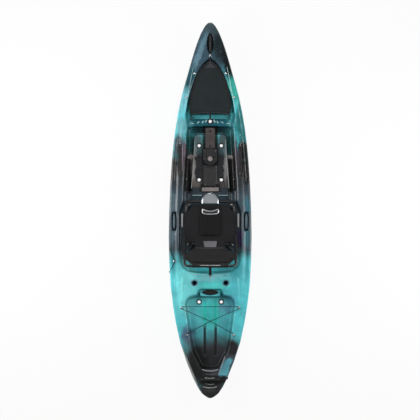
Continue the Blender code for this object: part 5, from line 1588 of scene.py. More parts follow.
@dataclass
class Console:
    """What stands on the cockpit's floor: the console plate, the mount base with its knob, the strip and the step."""

    base_half: float = 0.068
    base_middle: float = 0.510
    rim: float = 0.010
    knob_lobes: int = 18
    lobe: float = 0.0011

    def build(self) -> None:
        """Makes the five pieces."""
        self.console_plate()
        self.mount_base()
        self.knob()
        self.strip()
        self.step()

    def console_plate(self) -> None:
        """A dark tray with a raised brown-grey lid and two screws."""
        room = Room("console_plate")
        x, y, top = room.x, room.y, room.top
        tray = plate(room.outline(0.010), room.foot, top - 0.007, 0.002)
        finished(tray, "console_tray", Finish.NYLON, "console_plate", angle=35)
        lid = plate(room.outline(0.008, 0.010), top - 0.010, top - 0.0005, 0.003, 4)
        cut_out(lid, plate(rounded_box(x, y - 0.012, 0.052, 0.060, 0.010), top - 0.0030, top + 0.01))
        places = [(x, y - 0.0105 + d) for d in spaced(5, 0.009)]
        ribs = bars(places, (0.020, 0.0015), top - 0.0036, top - 0.0010, 0.0008)
        finished([lid, *ribs], "console_lid", Finish.GREY, angle=35)
        places = [(x, at, top - 0.0004) for at in (room.low[1] + 0.024, room.high[1] - 0.036)]
        ring = [(0.0042, 0.0), (0.0125, 0.0), (0.0118, 0.0016), (0.0055, 0.0016), (0.0042, 0.0)]
        finished([lathe(ring, place) for place in places], "console_grommets", Finish.RUBBER, angle=35)
        screws("console_screws", 0.0040, places, Finish.RAIL)

    def mount_base(self) -> None:
        """The black base: straight at its front, half round at its rear, with a raised rim and a sunk middle."""
        room = Room("mount_base")
        front, top, floor = room.high[1], room.top, room.top - 0.009

        def outline(less: float) -> list[Pair]:
            """The base's plan, smaller by some width all round."""
            half = self.base_half - less
            return [
                (half, front - less), (-half, front - less), *arc((0, self.base_middle), half, 180, 360, 28)
            ]

        base = plate(outline(0.0), room.foot, top - 0.004, 0.004, 3)
        cut_out(base, plate(outline(self.rim), top - 0.008, top + 0.02))
        hub = (0, 0.502, floor)
        rings = [(0.034, 0.0), (0.034, 0.0052), (0.0375, 0.0052), (0.0375, 0.0)]
        boss = [(0.0, 0.0), (0.019, 0.0), (0.017, 0.010), (0.0, 0.010)]
        ribs = [lathe(rings, hub, steps=48, bevel=0.0006), lathe(boss, hub, steps=40, bevel=0.0006)]
        ribs += bars([(-0.040, 0.569), (0.040, 0.569)], (0.0018, 0.021), floor, top - 0.0035, 0.0006)
        finished([base, *ribs], "mount_base_shell", Finish.NYLON, "mount_base", angle=40)
        places = [(x, y, top - 0.0084) for x in (-0.052, 0.052) for y in (0.580, 0.502)]
        screws("mount_base_screws", 0.0045, places)

    def knob(self) -> None:
        """The round knob: a lobed grip over a stem, with a cap set in its top."""
        room = Room("mount_knob")
        x, y, top = room.x, room.y, room.top
        outline = []
        for i in range(self.knob_lobes * 8):
            turn = 2 * math.pi * i / (self.knob_lobes * 8)
            radius = room.wide / 2 - 0.0006 + self.lobe * (math.cos(self.knob_lobes * turn) - 1)
            outline.append((x + radius * math.cos(turn), y + radius * math.sin(turn)))
        grip = plate(outline, room.foot + 0.008, top - 0.003, 0.0022, 3)
        stem = lathe([(0.0, 0.0), (0.0158, 0.0), (0.0158, 0.009), (0.0, 0.009)], (x, y, room.foot), steps=40)
        rim = [(0.0, 0.0), (0.0205, 0.0), (0.0205, 0.0022), (0.0190, 0.0030)]
        cap = lathe([*rim, (0.0155, 0.0030), (0.0145, 0.0020), (0.0, 0.0024)], (x, y, top - 0.0032), steps=48)
        finished([grip, stem, cap], "mount_knob_grip", Finish.PALE, "mount_knob", body="mount_knob", angle=38)

    def strip(self) -> None:
        """The strip in the channel, with long grip ribs and a screw at each corner."""
        room = Room("channel_strip")
        top, half = room.top, (0.0022, room.long / 2 - 0.016)
        body = plate(room.outline(0.004, steps=3), room.foot, top, 0.0016)
        ribs = bars(
            [(room.x + d, room.y) for d in spaced(5, 0.018)], half, top - 0.001, top + 0.0011, 0.0008, 2
        )
        finished([body, *ribs], "channel_strip_cover", Finish.DARK, "channel_strip", angle=35)
        out, along = room.wide / 2 - 0.009, room.long / 2 - 0.009
        corners = [(room.x + sx * out, room.y + sy * along, top - 0.0004) for sx in (-1, 1) for sy in (-1, 1)]
        screws("channel_strip_screws", 0.0036, corners)

    def step(self) -> None:
        """The heel step in front of the seat: a pale plate with three ridges across it."""
        room = Room("floor_step")
        top, half = room.top, (room.wide / 2 - 0.012, 0.0016)
        body = plate(room.outline(0.007), room.foot, top, 0.003, 4)
        ridges = bars(
            [(room.x, room.y + d) for d in spaced(3, 0.009)], half, top - 0.001, top + 0.0011, 0.0008, 2
        )
        finished([body, *ridges], "floor_step_cover", Finish.PALE, "floor_step", angle=35)


@dataclass
class FootBraces:
    """The two foot braces: a toothed rail on the foot well's wall, a ribbed pedal on it and the pedal's catch."""

    tooth_pitch: float = 0.0125
    pedal_inner: float = 0.170
    pedal_lean: float = 0.020
    ribs: int = 6

    def build(self) -> None:
        """Makes the teeth, the pedals and the catches."""
        for side in Side:
            rail = Room(f"foot_rail_{side.tag()}")
            self.teeth(side, rail)
            self.pedal(side, rail)
            self.catch(side)

    def inner_face(self, side: Side, rail: Room, y: float) -> float:
        """How far from the middle the rail's inner face is at a place along it."""
        near, far = sorted((side.value * rail.low[0], side.value * rail.high[0]))
        return far - 0.011 + (near - far + 0.011) * (y - rail.low[1]) / rail.long

    def teeth(self, side: Side, rail: Room) -> None:
        """The racks of teeth along the top and the inner face of the rail, and the bolts at its ends."""
        s, foot, top = side.value, rail.foot, rail.top
        count = int((rail.long - 0.024) / self.tooth_pitch)
        rear = [rail.low[1] + 0.014 + i * self.tooth_pitch for i in range(count)]
        faces = [(self.inner_face(side, rail, y), y) for y in rear]
        upper = [(s * (x + 0.00375), y + 0.003) for x, y in faces]
        inner = [(s * (x + 0.0009), y + 0.00275) for x, y in faces]
        teeth = bars(upper, (0.00225, 0.003), top - 0.001, top + 0.0004)
        teeth += bars(inner, (0.0011, 0.00275), foot + 0.006, top - 0.006, 0.0006)
        finished(teeth, f"foot_rail_teeth_{side.tag()}", Finish.RAIL)
        ends = (rail.low[1] + 0.007, rail.high[1] - 0.007)
        places = [((s * (self.inner_face(side, rail, y) + 0.0002), y, rail.z), (-s, 0, 0)) for y in ends]
        finished(copies(pan_head(0.0050), places), f"foot_rail_bolts_{side.tag()}", Finish.STEEL)

    def pedal(self, side: Side, rail: Room) -> None:
        """The pedal: a curved foot plate with ribs, on a carrier that hooks over the rail."""
        node = f"foot_pedal_{side.tag()}"
        room = Room(node)
        s, rear, front = side.value, room.low[1], room.high[1]
        inner, wall = self.pedal_inner, self.inner_face(side, rail, rear) - 0.0012
        bottom, top = room.foot + 0.001, room.top - 0.001

        def face(share: float) -> Pair:
            """A place on the plate's rear face, its share up from the bottom, as how far forward and how high."""
            return rear - 0.001 + self.pedal_lean * share**1.6, bottom + (top - bottom) * share

        profile = [face(i / 12) for i in range(13)]
        rings = []
        for x, trim in ((inner, 0.004), (inner + 0.004, 0.0), (wall - 0.004, 0.0), (wall, 0.004)):
            level = [(y, max(bottom + trim, min(top - trim, z))) for y, z in profile]
            ring = [(s * x, y + trim * 0.3, z) for y, z in level]
            rings.append(ring + [(s * x, y + 0.011 - trim * 0.3, z) for y, z in reversed(level)])
        pieces = [self.skin(rings)]
        near, far = s * (inner + 0.005), s * (wall - 0.007)
        for y, z in (face((i + 0.7) / (self.ribs + 0.4)) for i in range(self.ribs)):
            pieces.append(block((near, y - 0.0022, z - 0.0014), (far, y + 0.004, z + 0.0014), 0.0008, 2))
        low, high = (s * (wall - 0.016), rear + 0.002, bottom + 0.004), (s * wall, front - 0.001, top - 0.010)
        pieces.append(block(low, high, 0.0025))
        low, high = (s * (wall - 0.014), rear + 0.0015, top - 0.0145), (
            s * (wall + 0.0105), front - 0.0015, top
        )
        pieces.append(block(low, high, 0.0025))
        finished(pieces, node + "_plate", Finish.PALE, node, body=node, angle=40)

    def skin(self, rings: Sequence[Sequence[Point]]) -> Obj:
        """A closed body through rings of equal counts."""
        count, last = len(rings[0]), len(rings) - 1
        faces: list[tuple[int, ...]] = [tuple(range(count)), tuple(last * count + i for i in range(count))]
        for r in range(last):
            for a, b in ((r * count + i, r * count + (i + 1) % count) for i in range(count)):
                faces.append((a, b, b + count, a + count))
        return mesh_of([p for ring in rings for p in ring], faces)

    def catch(self, side: Side) -> None:
        """The catch behind the pedal: a bent lever with a rolled finger edge."""
        node = f"foot_trigger_{side.tag()}"
        room = Room(node)
        left, right, rear, front, foot = room.low[0] + 0.001, room.high[0] - 0.001, room.low[1], room.high[1], room.foot
        lever = block((left, rear + 0.0004, foot + 0.004), (right, front - 0.0004, room.top), 0.0012)
        roll = rod((left, room.y, foot + 0.003), (right, room.y, foot + 0.003), 0.0030, 20, 0.0008)
        pieces = [lever, roll]
        for z in (foot + 0.012, foot + 0.020, foot + 0.028):
            low, high = (left + 0.006, front - 0.001, z), (right - 0.006, front + 0.0006, z + 0.002)
            pieces.append(block(low, high, 0.0006, 1))
        finished(pieces, node + "_lever", Finish.RAIL, node, body=node, angle=40)


@dataclass
class Sling:
    """A taut cloth between two round bars: flat in the middle, and wrapped round the bars at its sides."""

    bar: float
    place: Callable[[float, float, float], Vector]
    columns: int = 30
    turns: int = 7
    thickness: float = 0.0022
    sag: float = 0.007

    def build(self, rows: Sequence[Point], bar_at: Callable[[float], float]) -> Obj:
        """Makes the cloth.

        Args:
            rows: For each row its place along the bars, how far out of their plane it is, and its half width.
            bar_at: The distance of a bar from the middle at a place along it.

        Returns:
            The cloth, with its thickness.
        """
        around = self.bar + self.thickness / 2 + 0.0003
        grid: list[list[Vector | None]] = []
        for at, out, half in rows:
            flat = out >= around - 0.001
            row: list[Vector | None] = []
            for share in (2 * i / self.columns - 1 for i in range(self.columns + 1)):
                dip = self.sag * (1 - share * share) * (0.4 + 0.6 * min(1.0, half / bar_at(at)))
                row.append(self.place(share * half, at, out - dip * flat))
            for sign in (1, -1):
                for turn in (math.radians(90 - 165 * (i + 1) / self.turns) for i in range(self.turns)):
                    x = sign * (bar_at(at) + around * math.cos(turn))
                    wraps = flat and half >= bar_at(at) - 0.0005
                    row.append(self.place(x, at, around * math.sin(turn)) if wraps else None)
            grid.append(row)
        return smooth(thickened(self.skin(grid), self.thickness), 60)

    def skin(self, grid: Sequence[Sequence[Vector | None]]) -> Obj:
        """Turns rows of points, some of them missing, into cloth."""
        wide = self.columns + 1
        chains = [list(range(wide)), [self.columns, *range(wide, wide + self.turns)]]
        chains.append([0, *range(wide + self.turns, wide + 2 * self.turns)])
        points = {
            (r, c): point for r, row in enumerate(grid) for c, point in enumerate(row) if point is not None
        }
        index = {key: i for i, key in enumerate(points)}
        faces = []
        for r in range(len(grid) - 1):
            for a, b in (pair for chain in chains for pair in zip(chain, chain[1:])):
                corners = ((r, a), (r, b), (r + 1, b), (r + 1, a))
                if all(corner in index for corner in corners):
                    faces.append([index[corner] for corner in corners])
        return mesh_of(list(points.values()), faces)


@dataclass
class Seat:
    """The raised seat: bent tubes, slings sewn round them, pads, a folding back, and its front and side fittings."""

    bar: float = 0.0125
    bend: float = 0.050
    frame_x: float = 0.235
    front: float = 0.085
    rear: float = -0.330
    height: float = 0.262
    hinge: Pair = (-0.335, 0.303)
    recline: float = math.radians(29)
    back_foot: float = 0.192
    back_top: float = 0.250
    flare: Pair = (0.045, 0.120)
    back_height: float = 0.430
    sling: Pair = (-0.310, 0.055)
    sling_cut: Pair = (0.100, 0.070)
    cloth_out: float = 0.0139
    hem: float = 0.0028
    back_outline: Plan = ((0.100, 0.150), (0.215, 0.250), (0.300, 0.250), (0.430, 0.172))
    pad_half: Plan = ((0.096, -0.252), (0.106, -0.150), (0.104, -0.034))
    band_half: Plan = ((0.205, 0.190), (0.236, 0.235), (0.236, 0.298), (0.176, 0.398))
    bail_reach: float = 0.078
    bail_bar: float = 0.0045
    bail_y: float = 0.088

    def build(self) -> None:
        """Makes every piece of the seat."""
        self.tubes()
        self.feet()
        self.gussets()
        self.base()
        self.back()
        self.band()
        self.skirt()
        self.brackets()
        self.bail()
        self.buckle()
        self.rails()
        self.recline_straps()

    def back_point(self, x: float, up: float, out: float) -> Vector:
        """A place on the back: across, up its slope from the hinge, and out in front of its bars."""
        y, z = self.hinge
        lean, rise = math.sin(self.recline), math.cos(self.recline)
        return Vector((x, y - lean * up + rise * out, z + rise * up + lean * out))

    def base_point(self, x: float, y: float, out: float) -> Vector:
        """A place on the base: across, along the boat, and above its bars' middle."""
        return Vector((x, y, self.height + out))

    def back_bar(self, up: float) -> float:
        """How far from the middle a back bar is, up its slope."""
        low, high = self.flare
        share = max(0.0, min(1.0, (up - low) / (high - low)))
        return self.back_foot + (self.back_top - self.back_foot) * share

    def tubes(self) -> None:
        """The two bent tubes, and the caps in the back's open ends."""
        thick = self.bar - 0.0002
        middle, long = (self.front + self.rear) / 2, self.front - self.rear
        loop = raised(rounded_box(0, middle, 2 * self.frame_x, long, self.bend, 10), self.height)
        base = swept(loop, thick, cyclic=True, steps=9)
        finished(base, "seat_base_tube", Finish.COAT, "seat_base_frame", angle=60)
        half = [(-0.018, self.back_foot), (self.flare[0], self.back_foot), (self.flare[1], self.back_top)]
        half.append((self.back_height, self.back_top))
        both = [(-x, up) for up, x in half] + [(x, up) for up, x in reversed(half)]
        corners = [self.back_point(x, up, 0) for x, up in both]
        back = swept(soft_corners(corners, self.bend, 10), thick, steps=9)
        finished(back, "seat_back_tube", Finish.COAT, "seat_back_frame", body="seat_back", angle=60)
        ends = [[self.back_point(s * self.back_foot, up, 0) for up in (-0.0200, -0.0172)] for s in (-1, 1)]
        caps = [rod(*end, self.bar - 0.001, 28, 0.001) for end in ends]
        finished(caps, "seat_back_caps", Finish.RUBBER, body="seat_back", angle=35)

    def feet(self) -> None:
        """The saddles under the base's side bars, each on a rubber pad."""
        for node in (f"seat_foot_{label}_{side.tag()}" for label in ("front", "rear") for side in Side):
            room = Room(node)
            pad = plate(room.outline(0.006), room.foot, room.foot + 0.004, 0.001)
            finished(pad, node + "_pad", Finish.RUBBER, angle=35)
            low = (room.low[0] + 0.001, room.low[1] + 0.001, room.foot + 0.0036)
            saddle = block(low, [end - 0.001 for end in room.high], 0.004)
            places, half = [(room.x, room.y + d) for d in spaced(3, 0.018)], (room.wide / 2 + 0.0006, 0.002)
            webs = bars(places, half, room.foot + 0.006, room.top - 0.005, 0.001)
            finished([saddle, *webs], node + "_saddle", Finish.NYLON, node, angle=35)

    def gussets(self) -> None:
        """The gussets in the base's front corners, each with a bolt."""
        edge, top = self.frame_x - self.bar + 0.004, self.front - self.bar + 0.004
        right = [(edge, top - 0.062), (edge, top - 0.020), (edge - 0.020, top), (edge - 0.062, top)]
        left = [(-x, y) for x, y in reversed(right)]
        plates = [plate(corner, self.height - 0.003, self.height + 0.003, 0.0015) for corner in (left, right)]
        finished(plates, "seat_corner_gussets", Finish.NYLON, angle=35)
        places = [(s * (edge - 0.0165), top - 0.020, self.height + 0.0028) for s in (-1, 1)]
        screws("seat_corner_bolts", 0.0085, places)

    def base(self) -> None:
        """The base's sling, its bound front edge, the pad on it and the apron ahead of the pad."""
        (rear, front), (cut_x, cut_y) = self.sling, self.sling_cut
        rows = []
        for y in (rear + (front - rear) * i / 36 for i in range(37)):
            past = max(0.0, (y - (front - cut_y)) / cut_y)
            rows.append((y, self.cloth_out, self.frame_x - cut_x * past))
        cloth = Sling(self.bar, self.base_point).build(rows, lambda y: self.frame_x)
        finished(cloth, "seat_base_cloth", Finish.MESH, "seat_base_sling")
        cut = [(y, half) for y, _, half in rows if half < self.frame_x - 0.0001]
        right = [(front - cut_y, self.frame_x), *cut]
        ends = [(half, y) for y, half in right] + [(-half, y) for y, half in reversed(right)]
        edge = [self.base_point(x, y, self.cloth_out + 0.0008) for x, y in ends]
        hem = finished(bead(edge, self.hem), "seat_base_hem", Finish.WEBBING, angle=60)
        pad = self.pad(self.pad_half, 0.2745, 0.013, 0.006)
        finished(pad, "seat_base_pad", Finish.PAD)
        apron = plate(rounded_box(0, 0.013, 0.214, 0.082, 0.012), 0.2752, 0.2786, 0.0012)
        finished(apron, "seat_base_apron", Finish.PAD, angle=35)

    def pad(self, half: Plan, foot: float, thick: float, cap: float) -> Obj:
        """A stuffed pad: a plate swollen as cloth under pressure, its middle held back by a cap.

        Args:
            half: The right half of its plan, from the rear.
            foot: The height of its underside.
            thick: Its thickness before it swells.
            cap: The farthest that a point may move.

        Returns:
            The pad.
        """
        made = plate([*half, *((-x, y) for x, y in reversed(half))], foot, foot + thick, 0.003, 3)
        modified(made, "REMESH", mode="VOXEL", voxel_size=0.0045)
        self.swell(made, cap)
        return smooth(modified(made, "SUBSURF", levels=1, render_levels=1), 80)

    def swell(self, made: Obj, cap: float) -> None:
        """Runs the cloth under pressure and keeps each point within a reach of where it was."""
        before = [v.co.copy() for v in made.data.vertices]
        cloth = alone(made).modifiers.new("cloth", "CLOTH")
        cloth.settings.use_pressure = True
        cloth.settings.uniform_pressure_force = 4.0
        cloth.settings.effector_weights.gravity = 0.0
        cloth.settings.quality = 6
        for step in range(1, 21):
            bpy.context.scene.frame_set(step)
        bpy.ops.object.modifier_apply(modifier=cloth.name)
        bpy.context.scene.frame_set(1)
        for vertex, was in zip(made.data.vertices, before):
            moved = vertex.co - was
            if moved.length > cap:
                vertex.co = was + moved * (cap / moved.length)

    def back(self) -> None:
        """The back's sling and its bound edges."""
        rows, outline, around = [], self.back_outline, self.cloth_out
        for (a, half_a), (b, half_b) in zip(outline, outline[1:]):
            steps = max(2, round((b - a) / 0.012))
            for share in (i / steps for i in range(steps)):
                rows.append((a + (b - a) * share, around, half_a + (half_b - half_a) * share))
        (low, _), (top, half) = outline[0], outline[-1]
        for turn in (math.radians(20 * i) for i in range(9)):
            rows.append((top + around * math.sin(turn), around * math.cos(turn), half))
        cloth = Sling(self.bar, self.back_point, sag=0.010).build(rows, self.back_bar)
        finished(cloth, "seat_back_cloth", Finish.MESH, "seat_back_sling", body="seat_back")
        flat = [(up, half) for up, out, half in rows if out >= around - 0.001]
        hems = []
        for s in (-1, 1):
            for rear, front in ((0.0, 0.216), (0.299, 0.431)):
                path = [
                    self.back_point(s * half, up, around + 0.0006) for up, half in flat if rear <= up <= front
                ]
                hems.append(bead(path, self.hem))
        foot = [
            self.back_point(x, low, around + 0.0004 - 0.007 * (1 - (x / 0.15) ** 2)) for x in spaced(7, 0.05)
        ]
        hems.append(bead(foot, self.hem))
        finished(hems, "seat_back_hem", Finish.WEBBING, body="seat_back", angle=60)

    def band(self) -> None:
        """The padded band across the upper back and the bright piping above it."""
        made = self.pad(self.band_half, 0.0, 0.010, 0.007)
        for vertex in made.data.vertices:
            x, up, out = vertex.co
            dip = 0.010 * (1 - min(1.0, (x / 0.25) ** 2))
            vertex.co = self.back_point(x, up, out + self.bar + 0.0030 - dip)
        finished(alone(made), "seat_back_band", Finish.PAD, body="seat_back")
        edge = [self.back_point(x, self.back_height + 0.0085, self.bar - 0.0005) for x in spaced(5, 0.05)]
        piping = bead(edge, 0.0032)
        finished(piping, "seat_back_piping", Finish.SILVER, body="seat_back", angle=60, slot="webbing")

    def skirt(self) -> None:
        """The cloth that joins the base to the back behind the paddler, with its ribbed patch."""
        wide = 0.146
        start, middle, end = Vector((0, -0.300, 0.2752)), Vector((0, -0.352, 0.292)), self.back_point(0, 0.108, 0.0085)
        rows = flowing([start, middle, end], 14)

        def across(row: Vector, half: float, foot: float, rise: float, steps: int = 4) -> list[Vector]:
            """Points across the boat at a row, their ends higher than their middle by a rise."""
            shares = [2 * i / steps - 1 for i in range(steps + 1)]
            return [row + Vector((x * half, 0, foot + rise * x * x)) for x in shares]

        cloth = thickened(grid_of([across(row, wide, 0.0, 0.0045, 24) for row in rows]), 0.0018)
        last = round(0.56 * (len(rows) - 1))
        ground = [
            across(row, 0.066 - 0.010 * r / last, 0.0030, 0.0012) for r, row in enumerate(rows[: last + 1])
        ]
        ribs = [thickened(grid_of(ground), 0.0016)]
        for i, share in enumerate((0.04, 0.21, 0.38, 0.53)):
            path = across(rows[round(share * (len(rows) - 1))], 0.064 - 0.003 * i, 0.0044, 0.0008)
            ribs.append(bead(path, 0.0040, steps=4))
        patch = joined(ribs)
        for piece, name, finish in (
            (cloth, "seat_skirt", Finish.MESH), (patch, "seat_skirt_ribs", Finish.RIBS)
        ):
            finished(piece, name, finish, body="", angle=60)
            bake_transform(piece)

    def brackets(self) -> None:
        """The cheeks that carry the back's hinge, each with a round boss and a bolt."""
        y, z = self.hinge
        inner = self.back_foot + self.bar + 0.0004
        outer = inner + 0.0135
        for side in Side:
            node = f"hinge_bracket_{side.tag()}"
            room, s = Room(node), side.value
            low = (s * inner, room.low[1] + 0.0004, room.foot + 0.0004)
            cheek = block(low, (s * outer, room.high[1] - 0.0004, z + 0.004), 0.003)
            boss = rod((s * inner, y, z), (s * outer, y, z), 0.0158, 40, 0.002)
            washer = rod((s * (outer - 0.001), y, z), (s * (outer + 0.0012), y, z), 0.0095, 32, 0.0005)
            finished([cheek, boss], node + "_cheek", Finish.NYLON, node, angle=35)
            head = copies(pan_head(0.0070), [((s * (outer + 0.001), y, z), (s, 0, 0))])
            finished([head, washer], node + "_bolt", Finish.STEEL)

    def bail(self) -> None:
        """The half round bail clipped to the front bar, with the grey tongue inside it."""
        reach, y, z = self.bail_reach, self.bail_y, Room("seat_bail").top - 0.0035
        ends = (reach, y - 0.020), (-reach, y - 0.020)
        ring = swept(raised([ends[0], *arc((0, y), reach, 0, 180, 30), ends[1]], z), self.bail_bar, steps=6)
        near, far, half = self.bar + 0.0006, self.bar + 0.0044, 0.0045
        clip = [(near, -half), (far, -half), (far, half), (near, half), (near, -half)]
        clips = [lathe(clip, (s * reach, self.front, self.height), (1, 0, 0), 40, 0.0008) for s in (-1, 1)]
        finished([ring, *clips], "seat_bail_ring", Finish.STEEL, "seat_bail", body="seat_bail", angle=50)
        room, inner = Room("seat_tongue"), reach - self.bail_bar - 0.0006
        outline = [(-inner, y - 0.019), (inner, y - 0.019), *arc((0, y), inner, 0, 180, 36)]
        ridges = [raised(arc((0, y), radius, 20, 160, 20), room.top + 0.0002) for radius in (0.060, 0.044)]
        pieces = [
            plate(outline, room.foot, room.top, 0.0012), *(bead(path, 0.0014, steps=2) for path in ridges)
        ]
        finished(pieces, "seat_tongue_plate", Finish.TONGUE, "seat_tongue", body="seat_bail", angle=50)

    def buckle(self) -> None:
        """The crescent buckle across the front of the base: a bright bent ring round a dark ribbed plate."""
        room, half = Room("seat_buckle"), 0.0775
        x, y = room.x, room.y
        rear = [
            (x + half * t, y - 0.018 - 0.008 * (1 - t * t)) for t in (-0.86, -0.6, -0.3, 0, 0.3, 0.6, 0.86)
        ]
        front = [
            (x + half * t, y + 0.024 - 0.022 * (1 - t * t)) for t in (0.90, 0.6, 0.3, 0, -0.3, -0.6, -0.90)
        ]
        right, left = ([(x + s * half, y - 0.012), (x + s * half, y + 0.018)] for s in (1, -1))
        outline = [*rear, *right, *front, *reversed(left), rear[0]]
        loop = flowing(raised(outline, room.z), 4)[:-1]
        ring = swept(loop, 0.0042, cyclic=True, steps=5)
        finished(ring, "seat_buckle_ring", Finish.SILVER, "seat_buckle", angle=60)
        pieces = [plate([(p.x, p.y) for p in loop], room.foot + 0.0004, room.top - 0.0035, 0.0008)]
        for d in (-0.012, -0.004):
            path = [(x + half * t, y + d + 0.008 * t * t) for t in spaced(5, 0.4)]
            pieces.append(bead(flowing(raised(path, room.top - 0.0030), 4), 0.0016, steps=2))
        finished(pieces, "seat_buckle_core", Finish.NYLON, angle=50)

    def recline_straps(self) -> None:
        """The two straps that stop the back's recline, from the base's sides to the back's bars."""
        for side in Side:
            s = side.value
            start, end = Vector((s * 0.2535, -0.235, 0.2790)), self.back_point(s * 0.2655, 0.205, 0.004)
            path = flowing([start, start.lerp(end, 0.5) - Vector((0, 0, 0.004)), end], 8)
            name = f"recline_strap_{side.tag()}"
            strap = finished(ribbon(path, 0.023, 0.0018), name, Finish.WEBBING, body="")
            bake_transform(strap)

    def rails(self) -> None:
        """The two bright rails on the ledges beside the base."""
        for node in (f"seat_rail_{side.tag()}" for side in Side):
            room = Room(node)
            body = plate(room.outline(0.011, steps=6), room.foot, room.top, 0.0075, 6)
            finished(body, node + "_cap", Finish.SILVER, node, angle=60)


@dataclass
class SeatStrap:
    """The strap that holds the seat down from behind: webbing, with its ladder lock."""

    width: float = 0.027
    thick: float = 0.0019
    start_height: float = 0.262

    def build(self) -> None:
        """Makes the strap and its lock."""
        room = Room("seat_strap")
        start, end = Vector((0, room.high[1], self.start_height)), Vector((0, room.low[1], room.top - 0.001))
        path = [start.lerp(end, i / 24) for i in range(25)]
        strap = ribbon(path, self.width, self.thick, 0.0005, 1)
        finished(strap, "seat_strap_webbing", Finish.WEBBING, "seat_strap")
        lock = block((-0.014, -0.011, 0.0012), (0.014, 0.011, 0.0050), 0.0014, 2)
        for slot in bars([(0, -0.0045), (0, 0.0045)], (0.0106, 0.0018), -0.01, 0.02):
            cut_out(lock, slot)
        lock.rotation_euler = (math.asin(-(end - start).normalized().z), 0, 0)
        lock.location = start.lerp(end, 0.72)
        finished(placed(lock), "seat_strap_lock", Finish.NYLON, angle=35)


@dataclass
class PortCover:
    """The rubber cover of the port behind the seat: a long oval with pointed ends, a rim and a pull ridge."""

    steps: int = 64

    def build(self) -> None:
        """Makes the cover."""
        room = Room("port_cover")
        top = room.top
        body = plate(self.lens(room), room.foot, top - 0.0015, 0.0016)
        rim = bead(raised(self.lens(room, 0.005, 0.005), top - 0.0016), 0.0022, True)
        dome = plate(self.lens(room, 0.014, 0.012), top - 0.003, top - 0.0002, 0.0012)
        places = [(room.x, room.y + d) for d in spaced(3, 0.006)]
        ridges = bars(places, (0.030, 0.0016), top - 0.001, top + 0.0014, 0.001, 2)
        pieces = [body, rim, dome, *ridges]
        finished(pieces, "port_cover_lid", Finish.RUBBER, "port_cover", body="port_cover", angle=45)

    def lens(self, room: Room, less_wide: float = 0.0, less_long: float = 0.0) -> list[Pair]:
        """An oval in the cover's room, some width smaller all round, whose ends are drawn out to soft points."""
        wide, long = room.wide / 2 - less_wide, room.long / 2 - less_long
        turns = [
            (math.cos(a), math.sin(a)) for a in (2 * math.pi * i / self.steps for i in range(self.steps))
        ]
        return [(room.x + wide * c, room.y + long * s * (1 - 0.30 * c * c)) for c, s in turns]


@dataclass
class DrainPlug:
    """The screw plug in the stern's side."""

    edge: float = 0.0006

    def build(self) -> None:
        """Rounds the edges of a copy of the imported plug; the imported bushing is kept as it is."""
        head = bevelled(node_copy("drain_plug"), self.edge, 2, 40)
        finished(head, "drain_plug_head", Finish.NYLON, "drain_plug", body="drain_plug", angle=40)


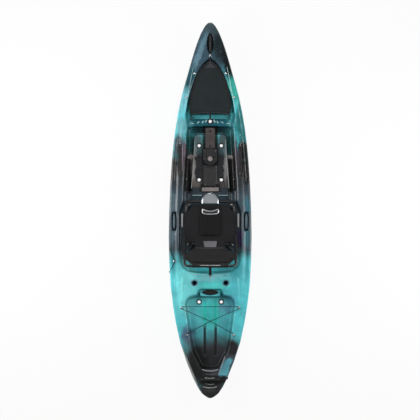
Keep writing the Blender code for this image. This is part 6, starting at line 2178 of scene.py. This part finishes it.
@dataclass
class Studio:
    """The pale floor, soft lamps, and the camera straight above."""

    camera_place: Point = (-0.0019, 0.0034, 6.0)
    floor_size: float = 40.0
    floor_colour: str = "#F4F4F4"
    glow: float = 0.92
    world_light: float = 0.20
    boxes: tuple[tuple[str, Point, Pair, float], ...] = (
        ("left_box", (-3.4, 0.2, 2.1), (0.8, 4.5), 120.0),
        ("right_box", (3.1, -0.2, 1.9), (0.5, 4.5), 80.0),
        ("over_box", (0.2, 3.4, 3.6), (2.0, 0.5), 64.0),
    )

    def build(self) -> None:
        """Makes the camera, the lamps, the world and the floor."""
        self.camera()
        self.lamps()
        self.floor()

    def camera(self) -> None:
        """An orthographic camera with the photograph's frame: the bow is up."""
        data = bpy.data.cameras.new("camera")
        data.type = "ORTHO"
        data.ortho_scale = PHOTO_PIXELS * METRES_PER_PIXEL
        made = new_object("camera", data)
        made.location = self.camera_place
        bpy.context.scene.camera = made

    def lamps(self) -> None:
        """Two long soft boxes, a broad one over the bow, and an even world."""
        for name, place, size, power in self.boxes:
            data = bpy.data.lights.new(name, "AREA")
            data.shape = "RECTANGLE"
            data.size, data.size_y = size
            data.energy = power
            lamp = new_object(name, data)
            lamp.location = place
            lamp.rotation_euler = (-Vector(place)).to_track_quat("-Z", "Y").to_euler()
        world = bpy.data.worlds.new("world")
        world.use_nodes = True
        background = world.node_tree.nodes["Background"]
        background.inputs[0].default_value = (1.0, 1.0, 1.0, 1.0)
        background.inputs[1].default_value = self.world_light
        bpy.context.scene.world = world
        bpy.context.scene.view_settings.view_transform = "Standard"

    def floor(self) -> None:
        """A pale floor that the camera sees as near white, with the boat's shadow on it."""
        bpy.ops.object.select_all(action="DESELECT")
        bpy.ops.mesh.primitive_plane_add(size=self.floor_size, location=(0, 0, -0.001))
        made = placed(bpy.context.object)
        made.name = "floor"
        material, tree, shader, _ = new_material("studio floor")
        dress(tree, shader, Base_Color=linear(self.floor_colour), Roughness=0.9)
        glow = add_node(tree, "ShaderNodeEmission", {"Color": (1.0, 1.0, 1.0, 1.0), "Strength": 1.0})
        ray = add_node(tree, "ShaderNodeLightPath").outputs
        seen = ray["Is Camera Ray"]
        for other in (ray["Is Glossy Ray"], ray["Is Transmission Ray"]):
            seen = add_node(tree, "ShaderNodeMath", {"operation": "MAXIMUM"}, {0: seen, 1: other})
        share = add_node(tree, "ShaderNodeMath", {"operation": "MULTIPLY", 1: self.glow}, {0: seen})
        mixed = add_node(tree, "ShaderNodeMixShader", {}, {0: share, 1: shader, 2: glow})
        tree.links.new(mixed.outputs[0], tree.nodes["Material Output"].inputs["Surface"])
        made.data.materials.append(material)


def dress_packed_nodes() -> None:
    """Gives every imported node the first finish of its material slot."""
    for entry in frame["record"]["subparts"]:
        finish = next(choice for choice in Finish if choice.slot == entry["material_slot"])
        data = frame["nodes"][entry["node"]].data
        data.materials.clear()
        data.materials.append(finish.material)


def main() -> None:
    """Builds the boat and its studio."""
    logging.basicConfig(level=logging.INFO, format="%(name)s: %(message)s")
    Studio().build()
    dress_packed_nodes()
    hull = Hull()
    hull.build()
    HighlightBeads().build(hull)
    Studs().build()
    CarryHandles().build()
    GearTracks().build()
    RodHolders().build(hull)
    BowCover().build(hull)
    DeckBungees().build(hull)
    for group in (Console, FootBraces, Seat, SeatStrap, PortCover, DrainPlug):
        group().build()


if __name__ == "__main__":
    main()
